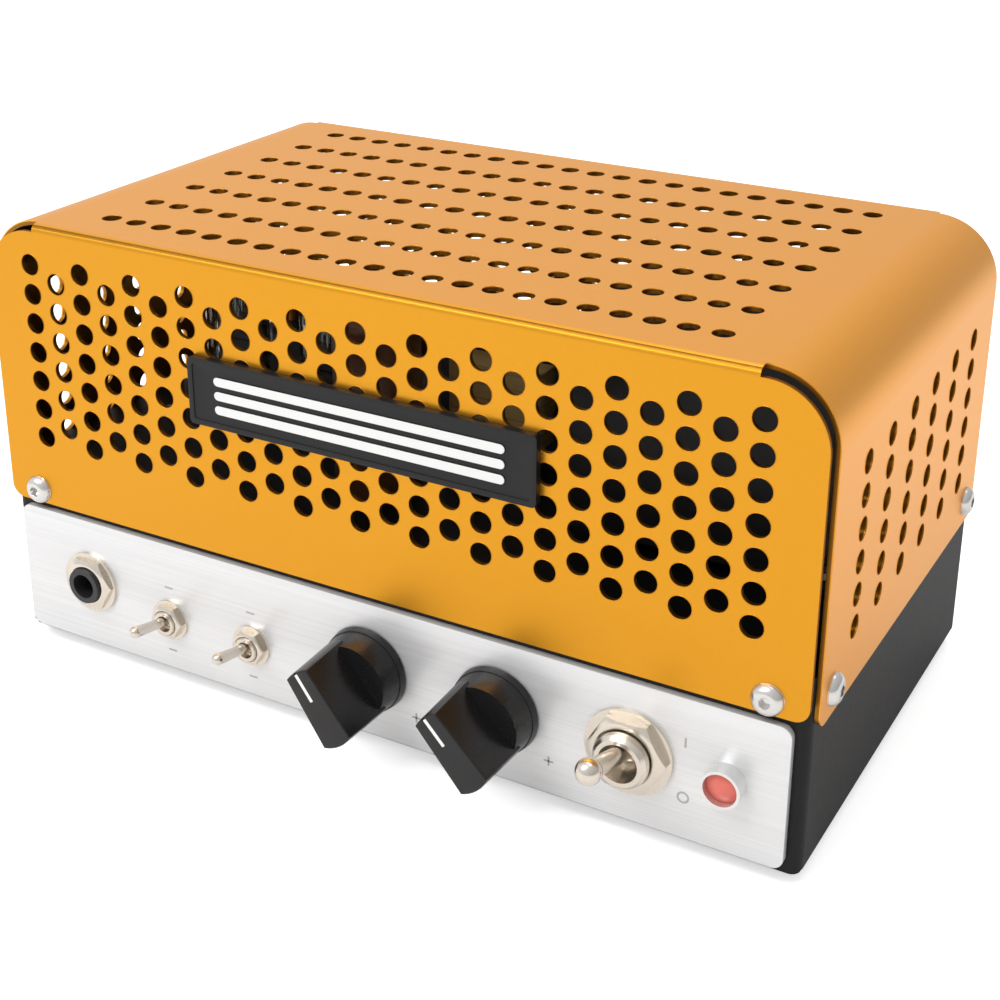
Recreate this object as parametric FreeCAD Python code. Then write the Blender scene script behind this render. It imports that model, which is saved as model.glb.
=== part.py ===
import FreeCAD, Part
import math
import os

os.makedirs("parts", exist_ok=True)

V = FreeCAD.Vector

# ---------------------------------------------------------------- driving sizes (mm)
# Working frame: x = 0 at mid width, y = 0 at the outer face of the cover's front panel
# with +y into the depth, z = 0 on the floor. move_to_row_frame() centres y at export.
foot_height = 3.0
case_depth = 124.0            # outer face of the front panel to outer face of the rear panel
cover_width = 222.0           # over the two side walls of the cover
case_top = 118.3              # top of the cover above the floor
sheet = 1.2                   # cover sheet
chassis_sheet = 1.5
corner_bend = 16.0            # outer radius of the long side bends
edge_bend = 2.0               # outer radius of the front and rear bends
relief_gap = 3.0              # wrap edge set back from the panel face
deck_height = 52.0            # top face of the chassis deck
cover_lap = 76.3              # drop of the front and rear panels below the top
wrap_lap = 79.0               # drop of the side walls below the top
panel_corner = 3.5

cover_half = cover_width / 2
chassis_half = cover_half - sheet
panel_half = chassis_half - 0.1
front_wall = sheet                           # outer face of the chassis front wall
rear_wall = case_depth - sheet               # outer face of the chassis rear wall
panel_bottom = case_top - cover_lap
wrap_bottom = case_top - wrap_lap
flat_half = cover_half - corner_bend         # half width of the flat top
fold_half = flat_half - 0.5                  # half width of the front and rear folds
chassis_bottom = foot_height + sheet         # underside of the chassis lips

# perforation
column_pitch, front_columns, front_hole = 8.0, 25, 5.5
row_pitch, long_column = 7.72, 7
first_row_drop = 10.6
top_pitch_x, top_columns, top_hole = 7.71, 22, 5.0
top_pitch_y, top_rows, top_first = 16.2, 7, 14.0
side_columns, side_rows, side_hole, side_first_drop = 6, 6, 5.5, 25.0

# cover fixings
screw_z = case_top - 72.8
front_screw_x = 100.5
side_screw_in = 10.8
screw_shank, screw_head, screw_head_h, screw_reach = 4.0, 7.6, 2.2, 6.8
rivet_body, rivet_flange, rivet_len = 6.0, 9.0, 5.8

# badge
badge_w, badge_h, badge_t = 93.4, 17.0, 2.0
badge_z = case_top - 32.9
badge_stud = 2.5

# faceplate and controls
plate_w, plate_bottom, plate_h, plate_t, plate_r = 213.2, 5.0, 35.4, 1.8, 2.8
plate_face = front_wall - plate_t            # y of the faceplate's front face
control_z = case_top - 95.2
jack_x = -84.4
toggle_xs = (-58.6, -33.0)
toggle_z = case_top - 99.1
gain_x, volume_x = 1.25, 36.5
power_x, pilot_x = 69.9, 92.9
gain_pointer, volume_pointer = 36.0, 43.0    # degrees left of straight up
toggle_tilt, power_tilt = 12.5, 17.3

jack_bush, jack_bore = 9.5, 6.6
toggle_bush, pot_bush, power_bush = 6.0, 7.0, 13.0
hole_clear = 0.2                             # radial clearance of controls in their holes
running = 0.05                               # radial running clearance of shafts and pivots
shaft_r = 3.0

knob_skirt_r, knob_top, knob_ledge = 11.0, 21.5, 8.6
knob_gap = 0.4

# rear panel items
inlet_x, inlet_z = 70.0, 27.5
speaker_xs = (-82.0, -54.0, -26.0)
speaker_z = 27.5

# parts on the deck
power_tube_x, preamp_tube_x, tube_y = -80.0, -47.0, 62.0
tube_r, power_tube_h, preamp_tube_h = 11.1, 60.0, 49.0
can_x, can_y, can_r, can_h = -17.0, 34.0, 11.0, 46.0
pt_x, pt_y, pt_w, pt_h, pt_stack, pt_bell = 68.0, 62.0, 66.0, 55.0, 26.0, 15.0
ot_x, ot_y, ot_w, ot_h, ot_stack, ot_build = 3.0, 72.0, 42.0, 35.0, 16.0, 9.0

# circuit board, hung under the deck
standoff = 12.0
board_t = 1.6
board_x0, board_x1, board_y0, board_y1 = -98.0, 22.0, 40.0, 92.0
deck_under = deck_height - chassis_sheet
board_top = deck_under - standoff
board_under = board_top - board_t

foot_w, foot_l, foot_in_x, foot_in_y = 12.5, 25.0, 7.0, 3.6

power_pivot_y, power_lever_len, power_ball_r = 1.0, 22.8, 3.0
front_reach = -(power_pivot_y - power_lever_len * math.cos(math.radians(power_tilt))) + power_ball_r
jack_stand = 3.4                             # jack bush end beyond its panel face
rear_reach = jack_stand                      # measured from the chassis rear wall
y_middle = (rear_wall + rear_reach - front_reach) / 2


# ---------------------------------------------------------------- helpers
def move_to_row_frame(shape):
    shape.translate(V(0, -y_middle, 0))
    return shape


def save(name, solids):
    """Write one node; a list becomes separate solids in one file."""
    shapes = solids if isinstance(solids, list) else [solids]
    out = []
    for s in shapes:
        s = s.copy()
        out.extend(s.Solids)
    shape = out[0] if len(out) == 1 else Part.makeCompound(out)
    move_to_row_frame(shape)
    shape.exportStep("parts/%s.step" % name)
    print(name, len(out), "solids", "valid" if shape.isValid() else "NOT VALID",
          "%.1f mm3" % sum(s.Volume for s in out))


def box(x0, x1, y0, y1, z0, z1):
    return Part.makeBox(x1 - x0, y1 - y0, z1 - z0, V(x0, y0, z0))


def cyl_y(x, y0, y1, z, r):
    """Cylinder along Y between two depths."""
    return Part.makeCylinder(r, y1 - y0, V(x, y0, z), V(0, 1, 0))


def cyl_z(x, y, z0, z1, r):
    return Part.makeCylinder(r, z1 - z0, V(x, y, z0), V(0, 0, 1))


def pipe_y(x, y0, y1, z, r_out, r_in):
    return cyl_y(x, y0, y1, z, r_out).cut(cyl_y(x, y0, y1, z, r_in))


def hex_y(x, y0, y1, z, across):
    """Hexagonal prism along Y, measured across its flats."""
    r = across / math.sqrt(3)
    pts = [V(x + r * math.cos(math.radians(60 * i)), y0, z + r * math.sin(math.radians(60 * i)))
           for i in range(7)]
    return Part.Face(Part.makePolygon(pts)).extrude(V(0, y1 - y0, 0))


def fuse(shapes):
    first = shapes[0]
    return (first.fuse(shapes[1:]) if len(shapes) > 1 else first).removeSplitter()


def face_with_holes(outer, holes):
    return Part.makeFace([outer] + holes, "Part::FaceMakerBullseye")


def hole_ring(x, y, z, r, axis):
    return Part.Wire([Part.makeCircle(r, V(x, y, z), axis)])


def rounded_wire(corners, radii, at):
    """Closed wire through 2-D corners with rounded corners; at() gives the 3-D point."""
    n = len(corners)
    edges, joints = [], []
    for i in range(n):
        a, b, c = corners[i - 1], corners[i], corners[(i + 1) % n]
        r = radii[i]
        if r == 0:
            joints.append((b, None, b))
            continue
        u = [(a[k] - b[k]) / math.dist(a, b) for k in (0, 1)]
        w = [(c[k] - b[k]) / math.dist(c, b) for k in (0, 1)]
        half = math.acos(max(-1, min(1, u[0] * w[0] + u[1] * w[1]))) / 2
        cut = r / math.tan(half)
        p = (b[0] + u[0] * cut, b[1] + u[1] * cut)
        q = (b[0] + w[0] * cut, b[1] + w[1] * cut)
        m = ((u[0] + w[0]), (u[1] + w[1]))
        ln = math.hypot(*m)
        far = r / math.sin(half)
        centre = (b[0] + m[0] / ln * far, b[1] + m[1] / ln * far)
        mid = (centre[0] - m[0] / ln * r, centre[1] - m[1] / ln * r)
        joints.append((p, mid, q))
    for i in range(n):
        p, mid, q = joints[i]
        if mid is not None:
            edges.append(Part.Arc(at(*p), at(*mid), at(*q)).toShape())
        nxt = joints[(i + 1) % n][0]
        if math.dist(q, nxt) > 1e-6:
            edges.append(Part.makeLine(at(*q), at(*nxt)))
    return Part.Wire(edges)


def rounded_block(x0, x1, z0, z1, y0, y1, r):
    wire = rounded_wire([(x0, z0), (x1, z0), (x1, z1), (x0, z1)], [r] * 4, lambda a, b: V(a, y0, b))
    return Part.Face(wire).extrude(V(0, y1 - y0, 0))


def run(points, r):
    """Wire along straight runs, with a ball at each bend."""
    parts = []
    for a, b in zip(points, points[1:]):
        a, b = V(*a), V(*b)
        parts.append(Part.makeCylinder(r, (b - a).Length, a, b - a))
    parts += [Part.makeSphere(r, V(*p)) for p in points[1:-1]]
    return fuse(parts)


def turned_about_y(shape, x, z, degrees):
    shape = shape.copy()
    shape.rotate(V(x, 0, z), V(0, -1, 0), degrees)
    return shape


# ---------------------------------------------------------------- cover
def front_hole_centres():
    centres = []
    for i in range(front_columns):
        odd = i % 2
        x = (i - (front_columns - 1) / 2) * column_pitch
        for j in range(long_column - odd):
            centres.append((x, case_top - first_row_drop - (j + odd / 2) * row_pitch))
    return centres


def end_panel(y_face, y_back):
    """Front or rear panel of the cover, from its folded top edge down."""
    top = case_top - edge_bend
    corners = [(-panel_half, panel_bottom), (panel_half, panel_bottom), (panel_half, top), (-panel_half, top)]
    wire = rounded_wire(corners, [panel_corner, panel_corner, corner_bend - edge_bend, corner_bend - edge_bend],
                        lambda a, b: V(a, y_face, b))
    holes = [hole_ring(x, y_face, z, front_hole / 2, V(0, 1, 0)) for x, z in front_hole_centres()]
    holes += [hole_ring(s * front_screw_x, y_face, screw_z, screw_shank / 2 + 0.25, V(0, 1, 0)) for s in (-1, 1)]
    return face_with_holes(wire, holes).extrude(V(0, y_back - y_face, 0))


def side_wall(sign):
    """One perforated side wall of the cover, with rounded lower corners."""
    x = sign * cover_half
    y0, y1 = relief_gap, case_depth - relief_gap
    top = case_top - corner_bend
    wire = rounded_wire([(y0, wrap_bottom), (y1, wrap_bottom), (y1, top), (y0, top)],
                        [panel_corner, panel_corner, 0, 0], lambda a, b: V(x, a, b))
    holes = [hole_ring(x, top_first + (i + 0.5) * top_pitch_y, case_top - side_first_drop - j * row_pitch,
                       side_hole / 2, V(1, 0, 0)) for i in range(side_columns) for j in range(side_rows)]
    holes += [hole_ring(x, y, screw_z, screw_shank / 2 + 0.25, V(1, 0, 0))
              for y in (side_screw_in, case_depth - side_screw_in)]
    return face_with_holes(wire, holes).extrude(V(-sign * sheet, 0, 0))


def top_wall():
    y0, y1 = edge_bend, case_depth - edge_bend
    g0, g1 = relief_gap, case_depth - relief_gap
    z = case_top
    pts = [(-fold_half, y0), (fold_half, y0), (fold_half, g0), (flat_half, g0), (flat_half, g1), (fold_half, g1),
           (fold_half, y1), (-fold_half, y1), (-fold_half, g1), (-flat_half, g1), (-flat_half, g0),
           (-fold_half, g0)]
    wire = rounded_wire(pts, [0] * len(pts), lambda a, b: V(a, b, z))
    holes = [hole_ring((i - (top_columns - 1) / 2) * top_pitch_x, top_first + j * top_pitch_y, z,
                       top_hole / 2, V(0, 0, 1)) for i in range(top_columns) for j in range(top_rows)]
    return face_with_holes(wire, holes).extrude(V(0, 0, -sheet))


def corner_roll(sign):
    """Long bend between the top and one side wall."""
    cx, cz = sign * flat_half, case_top - corner_bend
    y0, y1 = relief_gap, case_depth - relief_gap
    ring = pipe_y(cx, y0, y1, cz, corner_bend, corner_bend - sheet)
    xs = sorted((cx, cx + sign * corner_bend))
    return ring.common(box(xs[0], xs[1], y0, y1, cz, case_top))


def edge_fold(front):
    """Short bend between the top and the front or rear panel."""
    y = edge_bend if front else case_depth - edge_bend
    z = case_top - edge_bend
    outer = Part.makeCylinder(edge_bend, 2 * fold_half, V(-fold_half, y, z), V(1, 0, 0))
    inner = Part.makeCylinder(edge_bend - sheet, 2 * fold_half, V(-fold_half, y, z), V(1, 0, 0))
    ys = (y - edge_bend, y) if front else (y, y + edge_bend)
    return outer.cut(inner).common(box(-fold_half, fold_half, ys[0], ys[1], z, case_top))


def cover():
    return fuse([top_wall(), side_wall(-1), side_wall(1), corner_roll(-1), corner_roll(1),
                 edge_fold(True), edge_fold(False), end_panel(0, sheet), end_panel(case_depth, case_depth - sheet)])


def fixing_points():
    """Seat point and outward direction of each cover screw."""
    out = []
    for s in (-1, 1):
        out.append((V(s * front_screw_x, 0, screw_z), V(0, -1, 0)))
        out.append((V(s * front_screw_x, case_depth, screw_z), V(0, 1, 0)))
        for y in (side_screw_in, case_depth - side_screw_in):
            out.append((V(s * cover_half, y, screw_z), V(s, 0, 0)))
    return out


def button_screw(seat, out_dir):
    """Button-head socket screw; its shank ends inside its rivet nut."""
    sphere_r = (screw_head ** 2 / 4 + screw_head_h ** 2) / (2 * screw_head_h)
    ball = Part.makeSphere(sphere_r, V(0, 0, screw_head_h - sphere_r))
    head = ball.common(Part.makeCylinder(screw_head / 2, screw_head_h, V(0, 0, 0), V(0, 0, 1)))
    r = 2.5 / math.sqrt(3)
    pts = [V(r * math.cos(math.radians(60 * i)), r * math.sin(math.radians(60 * i)), 0.8) for i in range(7)]
    socket = Part.Face(Part.makePolygon(pts)).extrude(V(0, 0, 3))
    shank = Part.makeCylinder(screw_shank / 2, screw_reach, V(0, 0, -screw_reach), V(0, 0, 1))
    screw = head.cut(socket).fuse(shank).removeSplitter()
    screw.Placement = FreeCAD.Placement(seat, FreeCAD.Rotation(V(0, 0, 1), out_dir))
    return screw


def rivet_nut(seat, out_dir):
    """Flush rivet nut in the chassis wall behind one cover screw."""
    back = -sheet
    body = Part.makeCylinder(rivet_body / 2, rivet_len, V(0, 0, back - rivet_len), V(0, 0, 1))
    flange = Part.makeCylinder(rivet_flange / 2, 1.2, V(0, 0, back - chassis_sheet - 1.2), V(0, 0, 1))
    bore = Part.makeCylinder(screw_shank / 2, 12.0, V(0, 0, back - 11.0), V(0, 0, 1))
    nut = body.fuse(flange).cut(bore)
    nut.Placement = FreeCAD.Placement(seat, FreeCAD.Rotation(V(0, 0, 1), out_dir))
    return nut


def badge_stud_points():
    """Two of the panel's own holes that lie behind the badge."""
    inside = [(x, z) for x, z in front_hole_centres() if abs(z - badge_z) < 3.0 and 25 < abs(x) < 42]
    left = min(inside, key=lambda p: (abs(p[0] + 36), p[1]))
    return [left, (-left[0], left[1])]


def badge_plate():
    plate = rounded_block(-badge_w / 2, badge_w / 2, badge_z - badge_h / 2, badge_z + badge_h / 2, -badge_t, 0, 1.2)
    inner = rounded_block(-badge_w / 2 + 1.4, badge_w / 2 - 1.4, badge_z - badge_h / 2 + 1.4,
                          badge_z + badge_h / 2 - 1.4, -badge_t, -badge_t + 0.25, 0.8)
    ruled = [box(-badge_w / 2 + 8, badge_w / 2 - 8, -badge_t, -badge_t + 0.25, badge_z + k - 0.6, badge_z + k + 0.6)
             for k in (-3.6, 0, 3.6)]
    plate = plate.cut(inner.cut(fuse(ruled[:1]).fuse(ruled[1:])))
    return fuse([plate] + [cyl_y(x, -0.5, 5.0, z, badge_stud / 2) for x, z in badge_stud_points()])


def badge_nuts():
    return [pipe_y(x, sheet, sheet + 1.6, z, 4.2, badge_stud / 2) for x, z in badge_stud_points()]


# ---------------------------------------------------------------- chassis
def lip_screw_points():
    xs = (-chassis_half + 30, 0, chassis_half - 30)
    ys = (front_wall + 7, rear_wall - 7)
    return [(x, y) for x in xs for y in ys]


def transformer_screw_points():
    pts = [(pt_x + sx * (pt_w / 2 - 5), pt_y + sy * (pt_stack / 2 + 6)) for sx in (-1, 1) for sy in (-1, 1)]
    return pts


def ot_screw_points():
    return [(ot_x + s * (ot_w / 2 + 5.5), ot_y) for s in (-1, 1)]


def standoff_points():
    return [(x, y) for x in (board_x0 + 5, board_x1 - 5) for y in (board_y0 + 5, board_y1 - 5)]


grommets_at = ((27.0, 94.0), (pt_x, pt_y - pt_stack / 2 - pt_bell / 2), (pt_x, pt_y + pt_stack / 2 + pt_bell / 2))
grommet_hole = 4.0


def chassis():
    """Folded box, open below, with lips for the bottom plate."""
    outer = rounded_wire([(-chassis_half, front_wall), (chassis_half, front_wall), (chassis_half, rear_wall),
                          (-chassis_half, rear_wall)], [2.6] * 4, lambda a, b: V(a, b, chassis_bottom))
    inner = rounded_wire([(-chassis_half + chassis_sheet, front_wall + chassis_sheet),
                          (chassis_half - chassis_sheet, front_wall + chassis_sheet),
                          (chassis_half - chassis_sheet, rear_wall - chassis_sheet),
                          (-chassis_half + chassis_sheet, rear_wall - chassis_sheet)],
                         [1.1] * 4, lambda a, b: V(a, b, chassis_bottom))
    body = Part.Face(outer).extrude(V(0, 0, deck_height - chassis_bottom))
    room = Part.Face(inner).extrude(V(0, 0, deck_under - chassis_bottom))
    shell = body.cut(room)
    lip_in = 12.0
    ring = Part.Face(inner).extrude(V(0, 0, chassis_sheet))
    ring = ring.cut(box(-chassis_half + lip_in, chassis_half - lip_in, front_wall + lip_in, rear_wall - lip_in,
                        chassis_bottom, chassis_bottom + chassis_sheet))
    shell = shell.fuse(ring)
    deck0, deck1 = deck_under - 0.5, deck_height + 0.5
    cuts = [cyl_z(x, tube_y, deck0, deck1, tube_r + 1.9) for x in (power_tube_x, preamp_tube_x)]
    cuts.append(cyl_z(can_x, can_y, deck0, deck1, 7.0))
    cuts += [cyl_z(x, y, deck0, deck1, 1.75) for x, y in transformer_screw_points() + ot_screw_points()
             + standoff_points()]
    cuts += [cyl_z(x, y, deck0, deck1, grommet_hole) for x, y in grommets_at]
    cuts += [cyl_z(x, y, chassis_bottom - 1, chassis_bottom + chassis_sheet + 1, 1.5) for x, y in lip_screw_points()]
    cuts += [hole for hole in control_holes(front_wall - 1, front_wall + chassis_sheet + 1)]
    cuts += rear_holes()
    for seat, out_dir in fixing_points():
        cuts.append(Part.makeCylinder(rivet_body / 2, 6.0, seat - out_dir * 4.5, out_dir))
    return shell.cut(Part.makeCompound(cuts)).removeSplitter()


def control_holes(y0, y1):
    """Clearance holes for the front controls, between two depths."""
    holes = [cyl_y(jack_x, y0, y1, control_z, jack_bush / 2 + hole_clear)]
    holes += [cyl_y(x, y0, y1, toggle_z, toggle_bush / 2 + hole_clear) for x in toggle_xs]
    holes += [cyl_y(x, y0, y1, control_z, pot_bush / 2 + hole_clear) for x in (gain_x, volume_x)]
    holes.append(cyl_y(power_x, y0, y1, control_z, power_bush / 2 + hole_clear))
    holes.append(cyl_y(pilot_x, y0, y1, control_z, 4.0 + hole_clear))
    return holes


def rear_holes():
    y0, y1 = rear_wall - chassis_sheet - 1, rear_wall + 1
    holes = [cyl_y(x, y0, y1, speaker_z, jack_bush / 2 + hole_clear) for x in speaker_xs]
    holes.append(box(inlet_x - 15.2, inlet_x + 15.2, y0, y1, inlet_z - 14.2, inlet_z + 12.2))
    holes += [cyl_y(inlet_x + s * 20, y0, y1, inlet_z, 1.7) for s in (-1, 1)]
    return holes


def bottom_plate():
    """Vented plate screwed under the chassis lips."""
    inset = 0.6
    x1, y0, y1 = chassis_half - inset, front_wall + inset, rear_wall - inset
    wire = rounded_wire([(-x1, y0), (x1, y0), (x1, y1), (-x1, y1)], [2.2] * 4, lambda a, b: V(a, b, foot_height))
    holes = [hole_ring(x, y, foot_height, 1.6, V(0, 0, 1)) for x, y in lip_screw_points()]
    for row in (-1, 1):
        for i in range(14):
            x, y = (i - 6.5) * 9.0, case_depth / 2 + row * 22
            holes.append(rounded_wire([(x - 1.6, y - 11), (x + 1.6, y - 11), (x + 1.6, y + 11), (x - 1.6, y + 11)],
                                      [1.59] * 4, lambda a, b: V(a, b, foot_height)))
    return face_with_holes(wire, holes).extrude(V(0, 0, sheet))


def bottom_screws():
    out = []
    for x, y in lip_screw_points():
        shank = cyl_z(x, y, foot_height - 0.5, chassis_bottom + chassis_sheet + 1.5, 1.5)
        head = Part.makeCone(2.0, 2.8, 1.5, V(x, y, foot_height - 1.5), V(0, 0, 1))
        cross = box(x - 0.35, x + 0.35, y - 1.7, y + 1.7, foot_height - 1.6, foot_height - 0.7)
        slot = box(x - 1.7, x + 1.7, y - 0.35, y + 0.35, foot_height - 1.6, foot_height - 0.7)
        out.append(head.fuse(shank).cut(slot.fuse(cross)))
    return out


def feet():
    out = []
    for sx in (-1, 1):
        for y in (front_wall + foot_in_y + foot_l / 2, rear_wall - foot_in_y - foot_l / 2):
            x = sx * (chassis_half - foot_in_x)
            w, l, b = foot_w / 2, foot_l / 2, 1.2
            low = rounded_wire([(x - w + b, y - l + b), (x + w - b, y - l + b), (x + w - b, y + l - b),
                                (x - w + b, y + l - b)], [2.0] * 4, lambda p, q: V(p, q, 0))
            high = rounded_wire([(x - w, y - l), (x + w, y - l), (x + w, y + l), (x - w, y + l)],
                                [2.0 + b] * 4, lambda p, q: V(p, q, foot_height))
            out.append(Part.makeLoft([low, high], True, True))
    return out


# ---------------------------------------------------------------- front controls
def faceplate():
    z0, z1 = plate_bottom, plate_bottom + plate_h
    plate = rounded_block(-plate_w / 2, plate_w / 2, z0, z1, plate_face, front_wall, plate_r)
    return plate.cut(Part.makeCompound(control_holes(plate_face - 1, front_wall + 1)))


def jack_at(x, z, face, wall_in, out):
    """Jack socket: a body behind the wall and a threaded bush through it.

    face: y of the outer face the washer sits on; wall_in: y of the wall's inner face;
    out: -1 for the front panel, 1 for the rear panel.
    """
    end = face + out * jack_stand
    body_end = wall_in - out * 26.0
    y0, y1 = sorted((wall_in, body_end))
    body = rounded_block(x - 9, x + 9, z - 9, z + 9, y0, y1, 1.5)
    a, b = sorted((wall_in, end))
    bush = cyl_y(x, a, b, z, jack_bush / 2)
    c, d = sorted((end, wall_in - out * 22.0))
    bore = cyl_y(x, c, d, z, jack_bore / 2)
    tags = []
    for k in (-5, 0, 5):
        e, f = sorted((body_end, body_end - out * 5.0))
        tags.append(box(x + k - 1.2, x + k + 1.2, e, f, z - 6.4, z - 5.8))
    return fuse([body, bush] + tags).cut(bore)


def jack_washer_at(x, z, face, out):
    a, b = sorted((face, face + out * 0.8))
    return pipe_y(x, a, b, z, 8.3, jack_bush / 2 + 0.15)


def jack_nut_at(x, z, face, out):
    """Hex nut with a domed face."""
    a, b = sorted((face + out * 0.8, face + out * 3.2))
    nut = hex_y(x, a, b, z, 13.0)
    dome_r = 14.0
    top = face + out * 3.2
    ball = Part.makeSphere(dome_r, V(x, top - out * (dome_r + 0.0), z))
    return nut.common(ball).cut(cyl_y(x, a - 1, b + 1, z, jack_bush / 2))


def jack_places():
    front = [(jack_x, control_z, plate_face, front_wall + chassis_sheet, -1)]
    rear = [(x, speaker_z, rear_wall, rear_wall - chassis_sheet, 1) for x in speaker_xs]
    return front + rear


def swing_mouth(x, z, pivot_y, face_y, half_deg, rod_r, back_r):
    """Funnel cut in a bush so that its lever can swing."""
    depth = pivot_y - face_y
    r_face = depth * math.tan(math.radians(half_deg)) + rod_r / math.cos(math.radians(half_deg)) + 0.35
    return Part.makeCone(back_r, r_face, depth, V(x, pivot_y, z), V(0, -1, 0))


toggle_pivot_y, toggle_face_y, toggle_ball, toggle_rod = -0.6, plate_face - 3.0, 1.8, 1.15
toggle_len = 13.6


def toggle_body(x):
    """Miniature toggle switch: case, threaded bush and solder tags."""
    wall = front_wall + chassis_sheet
    case = rounded_block(x - 6.4, x + 6.4, toggle_z - 3.9, toggle_z + 3.9, wall, wall + 10.0, 0.6)
    bush = cyl_y(x, toggle_face_y, wall, toggle_z, toggle_bush / 2)
    tags = [box(x + k - 0.4, x + k + 0.4, wall + 10.0, wall + 14.0, toggle_z - 1.0, toggle_z + 1.0)
            for k in (-4.7, 0, 4.7)]
    solid = fuse([case, bush] + tags)
    solid = solid.cut(Part.makeSphere(toggle_ball + running, V(x, toggle_pivot_y, toggle_z)))
    solid = solid.cut(swing_mouth(x, toggle_z, toggle_pivot_y, toggle_face_y, toggle_tilt, toggle_rod, 1.3))
    return solid.cut(cyl_y(x, toggle_pivot_y, wall + 4.0, toggle_z, 1.7))


def lever(x, z, pivot_y, tilt, length, ball_r, rod0, rod1, end_r):
    """Bat lever: pivot ball, tapering rod and rounded end, tilted up from straight out."""
    pivot = V(x, pivot_y, z)
    d = V(0, -math.cos(math.radians(tilt)), math.sin(math.radians(tilt)))
    rod = Part.makeCone(rod0, rod1, length, pivot, d)
    tip = Part.makeSphere(end_r, pivot + d * length)
    tail = Part.makeCylinder(rod0 * 0.8, ball_r + 1.2, pivot, d * -1)
    return fuse([Part.makeSphere(ball_r, pivot), rod, tip, tail])


def toggle_lever(x):
    return lever(x, toggle_z, toggle_pivot_y, toggle_tilt, toggle_len, toggle_ball, toggle_rod, 1.45, 1.5)


def control_washers():
    y = plate_face - 0.6
    small = [pipe_y(x, y, plate_face, toggle_z, 5.4, toggle_bush / 2 + 0.1) for x in toggle_xs]
    return small + [pipe_y(x, y, plate_face, control_z, 6.2, pot_bush / 2 + 0.1) for x in (gain_x, volume_x)]


def chamfered_nut(x, z, y_seat, thick, across, bore_r):
    """Hex nut seated on y_seat and standing towards the front, corners chamfered."""
    nut = hex_y(x, y_seat - thick, y_seat, z, across)
    cone_r = across / 2 * 1.19
    cap = cyl_y(x, y_seat - thick * 0.55, y_seat, z, across).fuse(
        Part.makeCone(cone_r, across / 2 * 0.98, thick * 0.45, V(x, y_seat - thick * 0.55, z), V(0, -1, 0)))
    return nut.common(cap).cut(cyl_y(x, y_seat - thick - 1, y_seat + 1, z, bore_r))


def toggle_nuts():
    return [chamfered_nut(x, toggle_z, plate_face - 0.6, 1.9, 8.0, toggle_bush / 2) for x in toggle_xs]


def pot_body(x):
    """Potentiometer case, bush and tags."""
    wall = front_wall + chassis_sheet
    case = cyl_y(x, wall, wall + 9.0, control_z, 8.4)
    bush = cyl_y(x, plate_face - 3.6, wall, control_z, pot_bush / 2)
    shelf = box(x - 6.5, x + 6.5, wall + 3.0, wall + 4.2, control_z - 13.5, control_z)
    tags = [box(x + k - 0.8, x + k + 0.8, wall + 3.0, wall + 3.8, control_z - 16.8, control_z - 13.5)
            for k in (-5, 0, 5)]
    solid = fuse([case, bush, shelf] + tags)
    return solid.cut(cyl_y(x, plate_face - 5, wall + 6.0, control_z, shaft_r + running))


def pot_shaft(x):
    wall = front_wall + chassis_sheet
    return cyl_y(x, -knob_top + 4.0, wall + 5.8, control_z, shaft_r)


def knob(x, pointer):
    """Skirted bar-grip knob with a groove for its white line, pointing straight up before turning."""
    back = plate_face - knob_gap
    skirt = Part.makeCone(knob_skirt_r, knob_skirt_r - 0.3, 1.8, V(x, back, control_z), V(0, -1, 0))
    body = Part.makeCone(10.5, 9.6, knob_ledge - 1.8 + back, V(x, back - 1.8, control_z), V(0, -1, 0))
    ledge_y = back - 1.8 - (knob_ledge - 1.8 + back)
    post = Part.makeCone(10.3, 9.9, knob_top + ledge_y + 2.0, V(x, ledge_y + 2.0, control_z), V(0, -1, 0))
    y0 = ledge_y + 2.0
    plan = [(x - 3.5, control_z + 11), (x + 3.5, control_z + 11), (x + 4.6, control_z - 11),
            (x - 4.6, control_z - 11)]
    blade = Part.Face(Part.makePolygon([V(a, y0, b) for a, b in plan + plan[:1]])).extrude(V(0, -knob_top - y0, 0))
    bar = post.common(blade)
    rim = [e for e in bar.Edges if all(abs(v.Point.y + knob_top) < 1e-4 for v in e.Vertexes)]
    bar = bar.makeFillet(0.5, rim)
    solid = fuse([skirt, body, bar])
    solid = solid.cut(cyl_y(x, back - 4.4, back + 1, control_z, 7.2))
    solid = solid.cut(cyl_y(x, -knob_top + 4.0, 1, control_z, shaft_r))
    solid = solid.cut(box(x - 0.45, x + 0.45, -knob_top, -knob_top + 0.3, control_z + 2.2, control_z + 11))
    return turned_about_y(solid, x, control_z, pointer)


def knob_line(x, pointer):
    line = box(x - 0.45, x + 0.45, -knob_top, -knob_top + 0.3, control_z + 2.2, control_z + 9.4)
    return turned_about_y(line, x, control_z, pointer)


power_face_y = plate_face - 6.0
power_rod = 1.9


def power_switch_body():
    wall = front_wall + chassis_sheet
    x, z = power_x, control_z
    case = rounded_block(x - 8.5, x + 8.5, z - 13.5, z + 13.5, wall, wall + 18.0, 1.0)
    bush = cyl_y(x, power_face_y, wall, z, power_bush / 2)
    rim = Part.makeCone(power_bush / 2, power_bush / 2 - 0.8, 0.8, V(x, power_face_y + 0.8, z), V(0, -1, 0))
    bush = bush.cut(cyl_y(x, power_face_y - 1, power_face_y + 0.8, z, power_bush)).fuse(rim)
    tags = [box(x + a - 0.4, x + a + 0.4, wall + 18.0, wall + 25.0, z + b - 2.4, z + b + 2.4)
            for a in (-5, 5) for b in (-7, 7)]
    solid = fuse([case, bush] + tags)
    solid = solid.cut(Part.makeSphere(3.4 + running, V(x, power_pivot_y, z)))
    solid = solid.cut(swing_mouth(x, z, power_pivot_y, power_face_y, power_tilt, power_rod, 2.4))
    return solid.cut(cyl_y(x, power_pivot_y, wall + 7.0, z, 3.2))


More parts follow.
